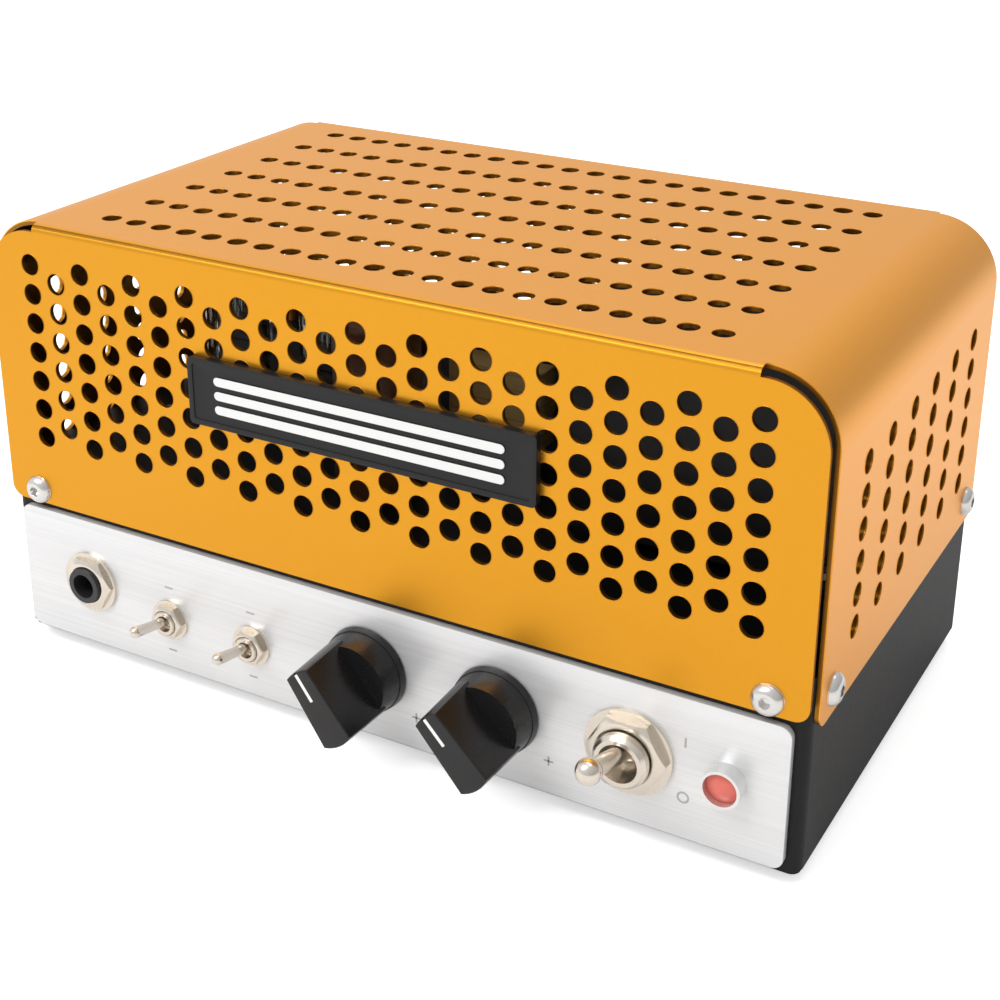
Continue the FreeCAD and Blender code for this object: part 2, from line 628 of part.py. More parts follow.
def power_lever():
    return lever(power_x, control_z, power_pivot_y, power_tilt, power_lever_len, 3.4, power_rod, 2.2, power_ball_r)


def power_washer():
    return pipe_y(power_x, plate_face - 0.9, plate_face, control_z, 10.7, power_bush / 2 + 0.15)


def power_nut():
    return chamfered_nut(power_x, control_z, plate_face - 0.9, 2.3, 17.0, power_bush / 2)


pilot_end = -4.6


def pilot_bezel():
    """Machined bezel: barrel in front, threaded sleeve through the panel."""
    barrel = pipe_y(pilot_x, pilot_end, plate_face, control_z, 4.6, 3.9)
    floor = pipe_y(pilot_x, plate_face - 1.0, plate_face, control_z, 4.6, 2.6)
    sleeve = pipe_y(pilot_x, plate_face, front_wall + chassis_sheet + 6.0, control_z, 4.0, 2.6)
    return fuse([barrel, floor, sleeve])


def pilot_lens():
    """Domed lens seated in the barrel."""
    r = 3.85
    dome = Part.makeSphere(6.5, V(pilot_x, pilot_end + 0.5 + 6.5, control_z))
    plug = cyl_y(pilot_x, pilot_end + 0.5, plate_face - 1.0, control_z, r)
    return plug.common(dome).cut(cyl_y(pilot_x, pilot_end + 2.2, plate_face, control_z, 2.6))


def pilot_led():
    y0 = pilot_end + 2.4
    r = 2.5
    dome = Part.makeSphere(r, V(pilot_x, y0 + r, control_z))
    body = cyl_y(pilot_x, y0 + r, plate_face + 3.4, control_z, r)
    rim = cyl_y(pilot_x, plate_face + 2.4, plate_face + 3.4, control_z, 2.6)
    legs = [box(pilot_x + s * 1.27 - 0.25, pilot_x + s * 1.27 + 0.25, plate_face + 3.2, front_wall + 16.0,
                control_z - 0.25, control_z + 0.25) for s in (-1, 1)]
    return fuse([dome, body, rim] + legs)


def pilot_nut():
    wall = front_wall + chassis_sheet
    return hex_y(pilot_x, wall, wall + 2.2, control_z, 11.0).cut(cyl_y(pilot_x, wall - 1, wall + 4, control_z, 4.0))


# ---------------------------------------------------------------- rear panel items
drawer_w, drawer_h, drawer_len = 22.0, 6.4, 24.0
drawer_z = inlet_z - 9.6


def inlet_cavity(y0, y1):
    x, z = inlet_x, inlet_z + 2.6
    pts = [(x - 12.2, z - 8.0), (x + 12.2, z - 8.0), (x + 12.2, z + 3.6), (x + 7.8, z + 8.0), (x - 7.8, z + 8.0),
           (x - 12.2, z + 3.6)]
    return Part.Face(rounded_wire(pts, [1.0] * 6, lambda a, b: V(a, y0, b))).extrude(V(0, y1 - y0, 0))


def mains_inlet():
    """Appliance inlet with a flange outside the wall and a slot for its fuse drawer."""
    y = rear_wall
    flange = rounded_block(inlet_x - 25, inlet_x + 25, inlet_z - 15.8, inlet_z + 13.8, y, y + 2.6, 3.0)
    body = rounded_block(inlet_x - 15, inlet_x + 15, inlet_z - 14, inlet_z + 12, y - 26, y, 1.5)
    solid = fuse([flange, body]).cut(inlet_cavity(y - 15.0, y + 4))
    slot = box(inlet_x - drawer_w / 2 - 0.1, inlet_x + drawer_w / 2 + 0.1, y - 23.0, y + 4,
               drawer_z - drawer_h / 2 - 0.1, drawer_z + drawer_h / 2 + 0.1)
    solid = solid.cut(slot)
    return solid.cut(Part.makeCompound([cyl_y(inlet_x + s * 20, y - 1, y + 4, inlet_z, 1.7) for s in (-1, 1)]))


def inlet_pins():
    out = []
    y = rear_wall
    for dx, dz in ((-7, -1), (0, 3), (7, -1)):
        x, z = inlet_x + dx, inlet_z + 2.6 + dz
        blade = box(x - 1.0, x + 1.0, y - 15.0, y - 1.5, z - 2.0, z + 2.0)
        tag = box(x - 0.4, x + 0.4, y - 33.0, y - 26.0, z - 2.4, z + 2.4)
        out += [blade, tag]
    return out


def inlet_screws():
    out = []
    y = rear_wall + 2.6
    for s in (-1, 1):
        x = inlet_x + s * 20
        head = Part.makeCone(2.9, 2.2, 1.4, V(x, y, inlet_z), V(0, 1, 0))
        shank = cyl_y(x, rear_wall - 7.0, y, inlet_z, 1.5)
        cross = box(x - 1.6, x + 1.6, y + 0.6, y + 2, inlet_z - 0.3, inlet_z + 0.3).fuse(
            box(x - 0.3, x + 0.3, y + 0.6, y + 2, inlet_z - 1.6, inlet_z + 1.6))
        out.append(fuse([head, shank]).cut(cross))
    return out


def inlet_nuts():
    y = rear_wall - chassis_sheet
    return [hex_y(inlet_x + s * 20, y - 2.4, y, inlet_z, 5.5).cut(cyl_y(inlet_x + s * 20, y - 3, y + 1, inlet_z, 1.5))
            for s in (-1, 1)]


fuse_y0, fuse_y1, fuse_r = rear_wall - 21.5, rear_wall - 1.5, 2.5


def fuse_drawer():
    """Sliding drawer with a trough for the fuse and a ribbed front."""
    y = rear_wall
    tray = box(inlet_x - drawer_w / 2, inlet_x + drawer_w / 2, y - 22.6, y + 2.6,
               drawer_z - drawer_h / 2, drawer_z + drawer_h / 2)
    lip = box(inlet_x - drawer_w / 2, inlet_x + drawer_w / 2, y + 2.6, y + 3.3,
              drawer_z - drawer_h / 2, drawer_z - drawer_h / 2 + 1.6)
    trough = box(inlet_x - fuse_r, inlet_x + fuse_r, fuse_y0, fuse_y1, drawer_z - 2.0, drawer_z + 5)
    return fuse([tray, lip]).cut(trough)


def fuse_shape():
    """Glass fuse: barrel and two end caps as separate solids."""
    z = drawer_z - 2.0 + fuse_r
    r = fuse_r
    caps = [cyl_y(inlet_x, fuse_y0, fuse_y0 + 5, z, r).common(
                box(inlet_x - r, inlet_x + r, fuse_y0, fuse_y0 + 5, z - r, drawer_z + drawer_h / 2)),
            cyl_y(inlet_x, fuse_y1 - 5, fuse_y1, z, r).common(
                box(inlet_x - r, inlet_x + r, fuse_y1 - 5, fuse_y1, z - r, drawer_z + drawer_h / 2))]
    barrel = cyl_y(inlet_x, fuse_y0 + 5, fuse_y1 - 5, z, r - 0.4)
    return caps + [barrel]


# ---------------------------------------------------------------- transformers
def pt_core():
    """Laminated core: E and I stack around the winding window, drilled for four bolts."""
    x0, x1 = pt_x - pt_w / 2, pt_x + pt_w / 2
    y0, y1 = pt_y - pt_stack / 2, pt_y + pt_stack / 2
    z0 = deck_height + 1.2
    leg = pt_w / 6
    core = box(x0, x1, y0, y1, z0, z0 + pt_h)
    for s in (-1, 1):
        xc = pt_x + s * pt_w / 4
        core = core.cut(box(xc - leg / 2, xc + leg / 2, y0 - 1, y1 + 1, z0 + leg, z0 + pt_h - leg))
    return core.cut(Part.makeCompound([cyl_y(x, y0 - 1, y1 + 1, z, 1.8) for x, z in pt_bolt_points()]))


def pt_bolt_points():
    z0 = deck_height + 1.2
    return [(pt_x + s * (pt_w / 2 - 4.5), z) for s in (-1, 1) for z in (z0 + 4.5, z0 + pt_h - 4.5)]


def pt_coil():
    """Winding on the centre leg, bulging out of both faces of the core."""
    leg = pt_w / 6
    z0 = deck_height + 1.2
    y0, y1 = pt_y - pt_stack / 2 - pt_bell + 3.0, pt_y + pt_stack / 2 + pt_bell - 3.0
    wire = rounded_wire([(pt_x - 2 * leg + 0.4, y0), (pt_x + 2 * leg - 0.4, y0), (pt_x + 2 * leg - 0.4, y1),
                         (pt_x - 2 * leg + 0.4, y1)], [5.0] * 4, lambda a, b: V(a, b, z0 + leg))
    coil = Part.Face(wire).extrude(V(0, 0, pt_h - 2 * leg))
    return coil.cut(box(pt_x - leg, pt_x + leg, pt_y - pt_stack / 2, pt_y + pt_stack / 2, z0, z0 + pt_h))


def pt_bell_at(s):
    """Pressed end bell with a foot flange."""
    z0 = deck_height + 1.2
    face = pt_y + s * pt_stack / 2
    out = pt_y + s * (pt_stack / 2 + pt_bell)
    ya, yb = sorted((face, out))
    w = pt_w / 2
    shell = rounded_block(pt_x - w + 1.5, pt_x + w - 1.5, z0 + 1.5, z0 + pt_h - 1.5, ya, yb, 6.0)
    yc, yd = sorted((face, out - s * 1.2))
    shell = shell.cut(rounded_block(pt_x - w + 2.7, pt_x + w - 2.7, z0 + 2.7, z0 + pt_h - 2.7, yc, yd, 4.8))
    ye, yf = sorted((face, face + s * 1.2))
    flange = rounded_block(pt_x - w, pt_x + w, z0, z0 + pt_h, ye, yf, 2.0).cut(
        rounded_block(pt_x - w + 2.7, pt_x + w - 2.7, z0 + 2.7, z0 + pt_h - 2.7, ye - 1, yf + 1, 4.8))
    yg, yh = sorted((face, face + s * 12.0))
    foot = [box(pt_x + k * (w - 5) - 5, pt_x + k * (w - 5) + 5, yg, yh, deck_height, z0) for k in (-1, 1)]
    tabs = [box(pt_x + k * (w - 5) - 5, pt_x + k * (w - 5) + 5, ye, yf, deck_height, z0 + 3) for k in (-1, 1)]
    bell = fuse([shell, flange] + foot + tabs)
    pad = [cyl_y(x, ye, yf, z, 4.2) for x, z in pt_bolt_points()]
    bell = fuse([bell] + pad)
    holes = [cyl_y(x, ya - 1, yb + 1, z, 1.8) for x, z in pt_bolt_points()]
    room = [cyl_y(x, min(yf, face + s * 1.2), yb + 1, z, 3.6) if s > 0 else cyl_y(x, ya - 1, ye, z, 3.6)
            for x, z in pt_bolt_points()]
    holes += [cyl_z(x, y, deck_height - 1, z0 + 1, 1.75) for x, y in transformer_screw_points()
              if (y - pt_y) * s > 0]
    wire_hole = cyl_z(pt_x, face + s * pt_bell / 2, deck_height - 1, z0 + 4, 4.0)
    return bell.cut(Part.makeCompound(holes + room + [wire_hole]))


def pt_bolts():
    out = []
    y0, y1 = pt_y - pt_stack / 2 - 1.2, pt_y + pt_stack / 2 + 1.2
    for x, z in pt_bolt_points():
        head = cyl_y(x, y0 - 2.0, y0, z, 3.2)
        nut = hex_y(x, y1, y1 + 2.4, z, 5.6)
        out.append(fuse([head, nut, cyl_y(x, y0, y1 + 3.0, z, 1.75)]))
    return out


def deck_screws():
    """Screws through the deck for both transformers and the board standoffs, with nuts below."""
    out = []
    for x, y in transformer_screw_points() + ot_screw_points():
        seat = deck_height + 1.2
        head = Part.makeCone(2.9, 2.3, 1.3, V(x, y, seat), V(0, 0, 1))
        shank = cyl_z(x, y, deck_under - 3.6, seat, 1.6)
        nut = Part.makeCylinder(3.1, 2.4, V(x, y, deck_under - 2.4), V(0, 0, 1))
        out.append(fuse([head, shank, nut]))
    for x, y in standoff_points():
        head = Part.makeCone(2.9, 2.3, 1.6, V(x, y, deck_height), V(0, 0, 1))
        out.append(fuse([head, cyl_z(x, y, deck_under - 4.0, deck_height, 1.5)]))
    return out


def ot_core():
    x0, x1 = ot_x - ot_w / 2, ot_x + ot_w / 2
    y0, y1 = ot_y - ot_stack / 2, ot_y + ot_stack / 2
    z0 = deck_height + 1.2
    leg = ot_w / 6
    core = box(x0, x1, y0, y1, z0, z0 + ot_h)
    for s in (-1, 1):
        xc = ot_x + s * ot_w / 4
        core = core.cut(box(xc - leg / 2, xc + leg / 2, y0 - 1, y1 + 1, z0 + leg, z0 + ot_h - leg))
    return core


def ot_coil():
    leg = ot_w / 6
    z0 = deck_height + 1.2
    y0, y1 = ot_y - ot_stack / 2 - ot_build, ot_y + ot_stack / 2 + ot_build
    wire = rounded_wire([(ot_x - 2 * leg + 0.3, y0), (ot_x + 2 * leg - 0.3, y0), (ot_x + 2 * leg - 0.3, y1),
                         (ot_x - 2 * leg + 0.3, y1)], [4.0] * 4, lambda a, b: V(a, b, z0 + leg))
    coil = Part.Face(wire).extrude(V(0, 0, ot_h - 2 * leg))
    return coil.cut(box(ot_x - leg, ot_x + leg, ot_y - ot_stack / 2, ot_y + ot_stack / 2, z0, z0 + ot_h))


def ot_frame():
    """Channel frame over the core, with two feet on the deck."""
    z0, t = deck_height + 1.2, 1.2
    x0, x1 = ot_x - ot_w / 2, ot_x + ot_w / 2
    y0, y1 = ot_y - ot_stack / 2, ot_y + ot_stack / 2
    top = box(x0 - t, x1 + t, y0, y1, z0 + ot_h, z0 + ot_h + t)
    sides = [box(x0 - t, x0, y0, y1, deck_height, z0 + ot_h), box(x1, x1 + t, y0, y1, deck_height, z0 + ot_h)]
    feet_ = [box(x0 - 10, x0, y0, y1, deck_height, z0), box(x1, x1 + 10, y0, y1, deck_height, z0)]
    base = box(x0, x1, y0, y1, deck_height, z0)
    frame = fuse([top, base] + sides + feet_)
    return frame.cut(Part.makeCompound([cyl_z(x, y, deck_height - 1, z0 + 1, 1.75) for x, y in ot_screw_points()]))


# ---------------------------------------------------------------- tubes, sockets, board
seat_z = board_top + 10.0
pin_circle = 5.95


def pin_points(x):
    return [(x + pin_circle * math.cos(math.radians(36 * i + 18)), tube_y + pin_circle
             * math.sin(math.radians(36 * i + 18))) for i in range(9)]


tube_wall = 0.8
tube_tip = 2.6


def tube_outline(x, height, r):
    """Bulb outline as a solid of revolution with a pulled tip."""
    z0 = seat_z + 0.4
    dome = r * 0.62
    z1 = z0 + height - dome - tube_tip
    pts = [V(0, 0, z0), V(r - 1.5, 0, z0)]
    e = [Part.makeLine(pts[0], pts[1]),
         Part.Arc(V(r - 1.5, 0, z0), V(r - 0.44, 0, z0 + 0.44), V(r, 0, z0 + 1.5)).toShape(),
         Part.makeLine(V(r, 0, z0 + 1.5), V(r, 0, z1))]
    k = 0.7071
    e.append(Part.Arc(V(r, 0, z1), V(1.6 + (r - 1.6) * k, 0, z1 + dome * k), V(1.6, 0, z1 + dome)).toShape())
    tip = [V(1.6, 0, z1 + dome), V(1.1, 0, z1 + dome + tube_tip * 0.7), V(0.5, 0, z1 + dome + tube_tip),
           V(0, 0, z1 + dome + tube_tip)]
    e += [Part.makeLine(a, b) for a, b in zip(tip, tip[1:])]
    e.append(Part.makeLine(tip[-1], pts[0]))
    solid = Part.Face(Part.Wire(e)).revolve(V(0, 0, 0), V(0, 0, 1), 360)
    solid.translate(V(x, tube_y, 0))
    return solid


def tube_glass(x, height):
    """Evacuated bulb: outer outline less a straight inner space with a domed end."""
    z0 = seat_z + 0.4
    outer = tube_outline(x, height, tube_r)
    r = tube_r - tube_wall
    dome = tube_r * 0.62
    top = z0 + height - dome - tube_tip
    room = cyl_z(x, tube_y, z0 + 2.0, top - 1.0, r)
    cap = Part.makeCone(r, r * 0.45, dome - 1.6, V(x, tube_y, top - 1.0), V(0, 0, 1))
    seals = [cyl_z(px, py, z0 - 1.0, z0 + 2.5, 0.5) for px, py in pin_points(x)]
    return outer.cut(fuse([room, cap])).cut(Part.makeCompound(seals))


def tube_inner(x, height):
    """Pins, support rods, mica discs and plates of one tube."""
    z0 = seat_z + 0.4
    low, high = z0 + 7.0, z0 + height - tube_r * 0.62 - tube_tip - 5.0
    mica = [cyl_z(x, tube_y, z, z + 0.5, tube_r - tube_wall - 0.2) for z in (low, high - 0.5)]
    plate = rounded_wire([(x - 7, tube_y - 3.4), (x + 7, tube_y - 3.4), (x + 7, tube_y + 3.4), (x - 7, tube_y + 3.4)],
                         [1.6] * 4, lambda a, b: V(a, b, low + 0.5))
    box_plate = Part.Face(plate).extrude(V(0, 0, high - low - 1.0))
    ribs = [box(x - 8.4, x + 8.4, tube_y - 0.4, tube_y + 0.4, low + 0.5, high - 0.5)]
    getter = Part.makeTorus(3.4, 0.5, V(x, tube_y, high + 2.6), V(0, 0, 1))
    mast = [cyl_z(x + s * 3.4, tube_y, high - 0.6, high + 2.6, 0.35) for s in (-1, 1)]
    core = fuse(mica + [box_plate] + ribs + mast + [getter])
    rods = [cyl_z(px, py, z0 + 2.4, low + 0.1, 0.4) for px, py in pin_points(x)]
    return fuse([core] + rods)


def tube_pins(x):
    z0 = seat_z + 0.4
    return [cyl_z(px, py, z0 - 6.0, z0 + 2.4, 0.5) for px, py in pin_points(x)]


def tube_socket(x):
    """Nine-pin socket standing on the board."""
    body = cyl_z(x, tube_y, board_top, seat_z, 10.0).cut(cyl_z(x, tube_y, seat_z - 7, seat_z + 1, 1.6))
    rim = cyl_z(x, tube_y, board_top, board_top + 2.0, 11.0)
    holes = [cyl_z(px, py, seat_z - 6.5, seat_z + 1, 0.6) for px, py in pin_points(x)]
    return fuse([body, rim]).cut(Part.makeCompound(holes))


def can_capacitor():
    """Filter capacitor can on the deck: sleeve with a rolled top edge, tags through the deck."""
    z0 = deck_height
    base = cyl_z(can_x, can_y, z0, z0 + can_h, can_r)
    edges = [e for e in base.Edges if len(e.Vertexes) == 1 and abs(e.Vertexes[0].Point.z - z0 - can_h) < 1e-6]
    base = base.makeFillet(1.2, edges)
    base = base.cut(cyl_z(can_x, can_y, z0 + can_h - 0.5, z0 + can_h + 1, can_r - 2.4))
    neck = cyl_z(can_x, can_y, deck_under - 1.0, z0, 6.7)
    tags = [box(can_x + s * 3.2 - 1.2, can_x + s * 3.2 + 1.2, can_y - 0.3, can_y + 0.3, deck_under - 6.5, deck_under)
            for s in (-1, 1)]
    return fuse([base, neck] + tags)


def circuit_board():
    wire = rounded_wire([(board_x0, board_y0), (board_x1, board_y0), (board_x1, board_y1), (board_x0, board_y1)],
                        [1.5] * 4, lambda a, b: V(a, b, board_under))
    holes = [hole_ring(x, y, board_under, 1.6, V(0, 0, 1)) for x, y in standoff_points()]
    return face_with_holes(wire, holes).extrude(V(0, 0, board_t))


def standoffs():
    out = []
    for x, y in standoff_points():
        r = 5.5 / math.sqrt(3)
        pts = [V(x + r * math.cos(math.radians(60 * i)), y + r * math.sin(math.radians(60 * i)), board_top)
               for i in range(7)]
        post = Part.Face(Part.makePolygon(pts)).extrude(V(0, 0, standoff))
        out.append(post.cut(cyl_z(x, y, board_top - 1, deck_under + 1, 1.5)))
    return out


def board_screws():
    out = []
    for x, y in standoff_points():
        head = Part.makeCone(2.3, 2.9, 1.6, V(x, y, board_under - 1.6), V(0, 0, 1))
        out.append(fuse([head, cyl_z(x, y, board_under, board_top + 4.5, 1.5)]))
    return out


def board_capacitors():
    """Radial capacitors hanging under the board."""
    out = []
    spots = [(-86, 58, 8.0, 25), (-86, 76, 8.0, 25), (-64, 54, 5.0, 18), (-64, 84, 5.0, 18), (-30, 57, 6.3, 22),
             (-30, 80, 6.3, 22), (-8, 52, 5.0, 18), (8, 80, 8.0, 25)]
    for x, y, r, h in spots:
        can = cyl_z(x, y, board_under - h, board_under, r)
        low = [e for e in can.Edges if len(e.Vertexes) == 1 and abs(e.Vertexes[0].Point.z - board_under + h) < 1e-6]
        out.append(can.makeFillet(0.8, low))
    return out


def film_capacitors():
    out = []
    for x, y in ((-44, 52), (-44, 66), (-44, 80), (-8, 68), (-8, 80)):
        out.append(rounded_block(x - 6.5, x + 6.5, board_under - 9.0, board_under, y - 2.6, y + 2.6, 1.0))
    return out


def resistors():
    """Axial resistors lying under the board on bent leads."""
    out = []
    for i in range(9):
        x, y = (-72.5 + (i % 3) * 8.6, 66.0 + (i // 3) * 4.6) if i < 6 else (8.0, 55.0 + (i % 3) * 5.0)
        z = board_under - 2.2
        body = cyl_y(x, y - 3.2, y + 3.2, z, 1.3)
        body.rotate(V(x, y, z), V(0, 0, 1), 90)
        legs = run([(x - 4.0, y, board_under), (x - 4.0, y, z), (x + 4.0, y, z), (x + 4.0, y, board_under)], 0.3)
        out.append(fuse([body, legs]))
    return out


def deck_grommets():
    out = []
    for x, y in grommets_at:
        ring = cyl_z(x, y, deck_under - 1.2, deck_height + 1.2, grommet_hole + 1.6)
        groove = cyl_z(x, y, deck_under, deck_height, grommet_hole + 3).cut(
            cyl_z(x, y, deck_under, deck_height, grommet_hole))
        out.append(ring.cut(groove).cut(cyl_z(x, y, deck_under - 3, deck_height + 3, 2.7)))
    return out


# ---------------------------------------------------------------- wiring
wire_r = 0.8


def signal_wires():
    """Front controls to the underside of the board."""
    wall = front_wall + chassis_sheet
    out = []
    jack_back = wall + 26.0 + 5.0
    for i, k in enumerate((-5, 5)):
        z = control_z - 6.1
        x = jack_x + k
        out.append(run([(x, jack_back, z), (x, board_y0 + 4.0 + 3 * i, z), (x, board_y0 + 4.0 + 3 * i, board_under)],
                       wire_r * 0.6))
    for x in toggle_xs:
        for k in (0, 4.7):
            y1 = board_y0 + 3.0 + k / 2
            out.append(run([(x + k, wall + 14.0, toggle_z), (x + k, y1, toggle_z), (x + k, y1, board_under)],
                           wire_r * 0.8))
    for x in (gain_x, volume_x):
        for i, k in enumerate((-5, 0, 5)):
            z = control_z - 15.2
            y1 = board_y0 + 2.5 + 2.4 * i
            xe = min(x + k, board_x1 - 14.0 + k / 2.5)
            out.append(run([(x + k, wall + 3.8, z), (x + k, y1 - 8.0, z), (xe, y1, z + 6.0), (xe, y1, board_under)],
                           wire_r * 0.8))
    return out


def mains_wires():
    """Inlet to power switch, switch to transformer, and transformer to board."""
    wall = front_wall + chassis_sheet
    tag_y, pin_y = wall + 25.0, rear_wall - 33.0
    coil_low = deck_height + 1.2 + pt_w / 6
    out = []
    for a, dx in ((-5, -7), (5, 7)):
        x0, x1 = power_x + a, inlet_x + dx
        z0, z1 = control_z - 7.0, inlet_z + 1.6
        out.append(run([(x0, tag_y, z0), (x0, tag_y + 8, z0), (x1, pin_y - 8, z1), (x1, pin_y, z1)], wire_r))
    for s in (-1, 1):
        x0, z0 = power_x + 5 * s, control_z + 7.0
        gx, gy = grommets_at[1]
        out.append(run([(x0, tag_y, z0), (x0, tag_y + 7, z0), (gx + s, gy, z0 + 7), (gx + s, gy, coil_low)], wire_r))
        gx, gy = grommets_at[2]
        z1 = deck_under - 6.0 - s
        out.append(run([(gx + s, gy, coil_low), (gx + s, gy, z1), (14.0, gy - 2.0 + 3 * s, z1),
                        (14.0, gy - 2.0 + 3 * s, board_top)], wire_r))
    return out


def output_wires():
    """Output transformer leads through their grommet to one speaker jack."""
    gx, gy = grommets_at[0]
    z = deck_height + 12.0
    y0 = ot_y + ot_stack / 2 + ot_build
    tag_top = speaker_z - 5.8
    tag_y = rear_wall - chassis_sheet - 27.3
    out = []
    for s in (-1, 1):
        x0, x1 = ot_x + s * 4, speaker_xs[2] - s * 5
        z1 = board_under - 6.5 + 2 * s
        out.append(run([(x0, y0, z - 2 * s), (x0, y0 + 3.0 - s, z - 2 * s), (gx - s, gy, z - 2 * s),
                        (gx - s, gy, z1), (x1, tag_y, z1), (x1, tag_y, tag_top)], wire_r * 0.75))
    return out


# ---------------------------------------------------------------- build
def main():
    save("cover", cover())
    save("cover_screws", [button_screw(p, d) for p, d in fixing_points()])
    save("rivet_nuts", [rivet_nut(p, d) for p, d in fixing_points()])
    save("badge_plate", badge_plate())
    save("badge_nuts", badge_nuts())
    save("chassis", chassis())
    save("bottom_plate", bottom_plate())
    save("bottom_screws", bottom_screws())
    save("feet", feet())
    save("faceplate", faceplate())
    save("jack_bodies", [jack_at(*p) for p in jack_places()])
    save("jack_washers", [jack_washer_at(x, z, f, o) for x, z, f, w, o in jack_places()])
    save("jack_nuts", [jack_nut_at(x, z, f, o) for x, z, f, w, o in jack_places()])
    save("toggle_bodies", [toggle_body(x) for x in toggle_xs])
    save("toggle_nuts", toggle_nuts())
    save("toggle_a_lever", toggle_lever(toggle_xs[0]))
    save("toggle_b_lever", toggle_lever(toggle_xs[1]))
    save("pot_bodies", [pot_body(x) for x in (gain_x, volume_x)])
    save("control_washers", control_washers())
    save("pot_nuts", [chamfered_nut(x, control_z, plate_face - 0.6, 2.0, 10.0, pot_bush / 2)
                      for x in (gain_x, volume_x)])
    for name, x, pointer in (("gain", gain_x, gain_pointer), ("volume", volume_x, volume_pointer)):
        save(name + "_shaft", pot_shaft(x))
        save(name + "_knob", knob(x, pointer))
        save(name + "_line", knob_line(x, pointer))
    save("power_switch_body", power_switch_body())
    save("power_switch_washer", power_washer())
    save("power_switch_nut", power_nut())
    save("power_lever", power_lever())
    save("pilot_bezel", pilot_bezel())
    save("pilot_lens", pilot_lens())
    save("pilot_led", pilot_led())
    save("pilot_nut", pilot_nut())
    save("mains_inlet", mains_inlet())
    save("inlet_pins", inlet_pins())
    save("inlet_fixings", inlet_screws() + inlet_nuts())
    save("fuse_drawer", fuse_drawer())
    save("fuse", fuse_shape())
    save("power_transformer_core", pt_core())
    save("power_transformer_coil", pt_coil())
    save("power_transformer_bells", [pt_bell_at(-1), pt_bell_at(1)])
    save("power_transformer_bolts", pt_bolts())
    save("output_transformer_core", ot_core())
    save("output_transformer_coil", ot_coil())
    save("output_transformer_frame", ot_frame())
    save("deck_screws", deck_screws() + board_screws())
    tubes = ((power_tube_x, power_tube_h), (preamp_tube_x, preamp_tube_h))
    save("tube_glass", [tube_glass(x, h) for x, h in tubes])
    save("tube_electrodes", [tube_inner(x, h) for x, h in tubes] + [p for x, h in tubes for p in tube_pins(x)])
    save("tube_sockets", [tube_socket(x) for x in (power_tube_x, preamp_tube_x)])
    save("can_capacitor", can_capacitor())
    save("circuit_board", circuit_board())
    save("standoffs", standoffs())
    save("board_capacitors", board_capacitors() + film_capacitors())
    save("resistors", resistors())
    save("deck_grommets", deck_grommets())
    save("signal_wires", signal_wires())
    save("mains_wires", mains_wires())
    save("output_wires", output_wires())
    print("y_middle %.4f front_reach %.4f" % (y_middle, front_reach))


main()
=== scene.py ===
"""A small valve guitar amplifier head: a perforated gold cover over a black chassis."""
import logging
import math
from dataclasses import dataclass
from enum import Enum
from typing import Callable, Dict, List, Optional, Sequence, Tuple, Union

import bmesh
import bpy
from mathutils import Matrix, Vector


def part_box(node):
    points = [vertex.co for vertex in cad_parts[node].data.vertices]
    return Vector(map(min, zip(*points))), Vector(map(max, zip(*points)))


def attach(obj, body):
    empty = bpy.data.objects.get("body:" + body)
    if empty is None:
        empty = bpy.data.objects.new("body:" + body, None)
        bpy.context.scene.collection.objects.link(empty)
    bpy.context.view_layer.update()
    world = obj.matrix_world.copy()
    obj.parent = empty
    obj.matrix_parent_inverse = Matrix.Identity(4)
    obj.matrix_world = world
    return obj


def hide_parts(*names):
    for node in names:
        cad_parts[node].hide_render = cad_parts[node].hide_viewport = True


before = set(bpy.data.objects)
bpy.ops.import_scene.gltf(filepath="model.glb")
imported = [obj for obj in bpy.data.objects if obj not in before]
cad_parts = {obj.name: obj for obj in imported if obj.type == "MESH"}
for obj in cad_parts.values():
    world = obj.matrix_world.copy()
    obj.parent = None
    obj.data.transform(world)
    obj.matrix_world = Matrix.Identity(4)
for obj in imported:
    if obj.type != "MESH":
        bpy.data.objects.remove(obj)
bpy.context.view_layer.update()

logging.basicConfig(level=logging.INFO, format="%(message)s")
LOG = logging.getLogger("amp_head")
MM = 0.001
MIDDLE = 51.2157          # depth of the row frame's origin behind the front panel, mm
Colour = Tuple[float, float, float]
Point = Tuple[float, float, float]
EVEN: Point = (1.0, 1.0, 1.0)
NodeTree = bpy.types.NodeTree
Socket = bpy.types.NodeSocket
Mesh = bpy.types.Mesh
Object = bpy.types.Object
ByAngle = Union[float, Callable[[float], float]]     # a size, or one that changes with the angle


class Facing(Enum):
    """The way a piece's own +Z axis points once it is fitted."""

    FRONT = (0.0, -1.0, 0.0)
    REAR = (0.0, 1.0, 0.0)
    LEFT = (-1.0, 0.0, 0.0)
    RIGHT = (1.0, 0.0, 0.0)


def at(x: float, y: float, z: float) -> Vector:
    """Turns a place in millimetres behind the front panel into metres in the row frame."""
    return Vector((x * MM, (y - MIDDLE) * MM, z * MM))


# ----- node groups
def node_group(name: str, inputs: Sequence[Tuple[str, str, object]],
                 outputs: Sequence[Tuple[str, str]], kind: str = "ShaderNodeTree") -> NodeTree:
    """Makes an empty node group.

    Args:
        name: The group's name.
        inputs: Name, kind of socket and first value of each input.
        outputs: Name and kind of socket of each output.
        kind: The kind of tree, a shader group unless another is named.

    Returns:
        The group, holding only its input and output nodes.
    """
    tree = bpy.data.node_groups.new(name, kind)
    for label, socket, value in inputs:
        item = tree.interface.new_socket(label, in_out="INPUT", socket_type="NodeSocket" + socket)
        if value is not None:
            item.default_value = value
    for label, socket in outputs:
        tree.interface.new_socket(label, in_out="OUTPUT", socket_type="NodeSocket" + socket)
    tree.nodes.new("NodeGroupInput").name = "In"
    tree.nodes.new("NodeGroupOutput").name = "Out"
    return tree


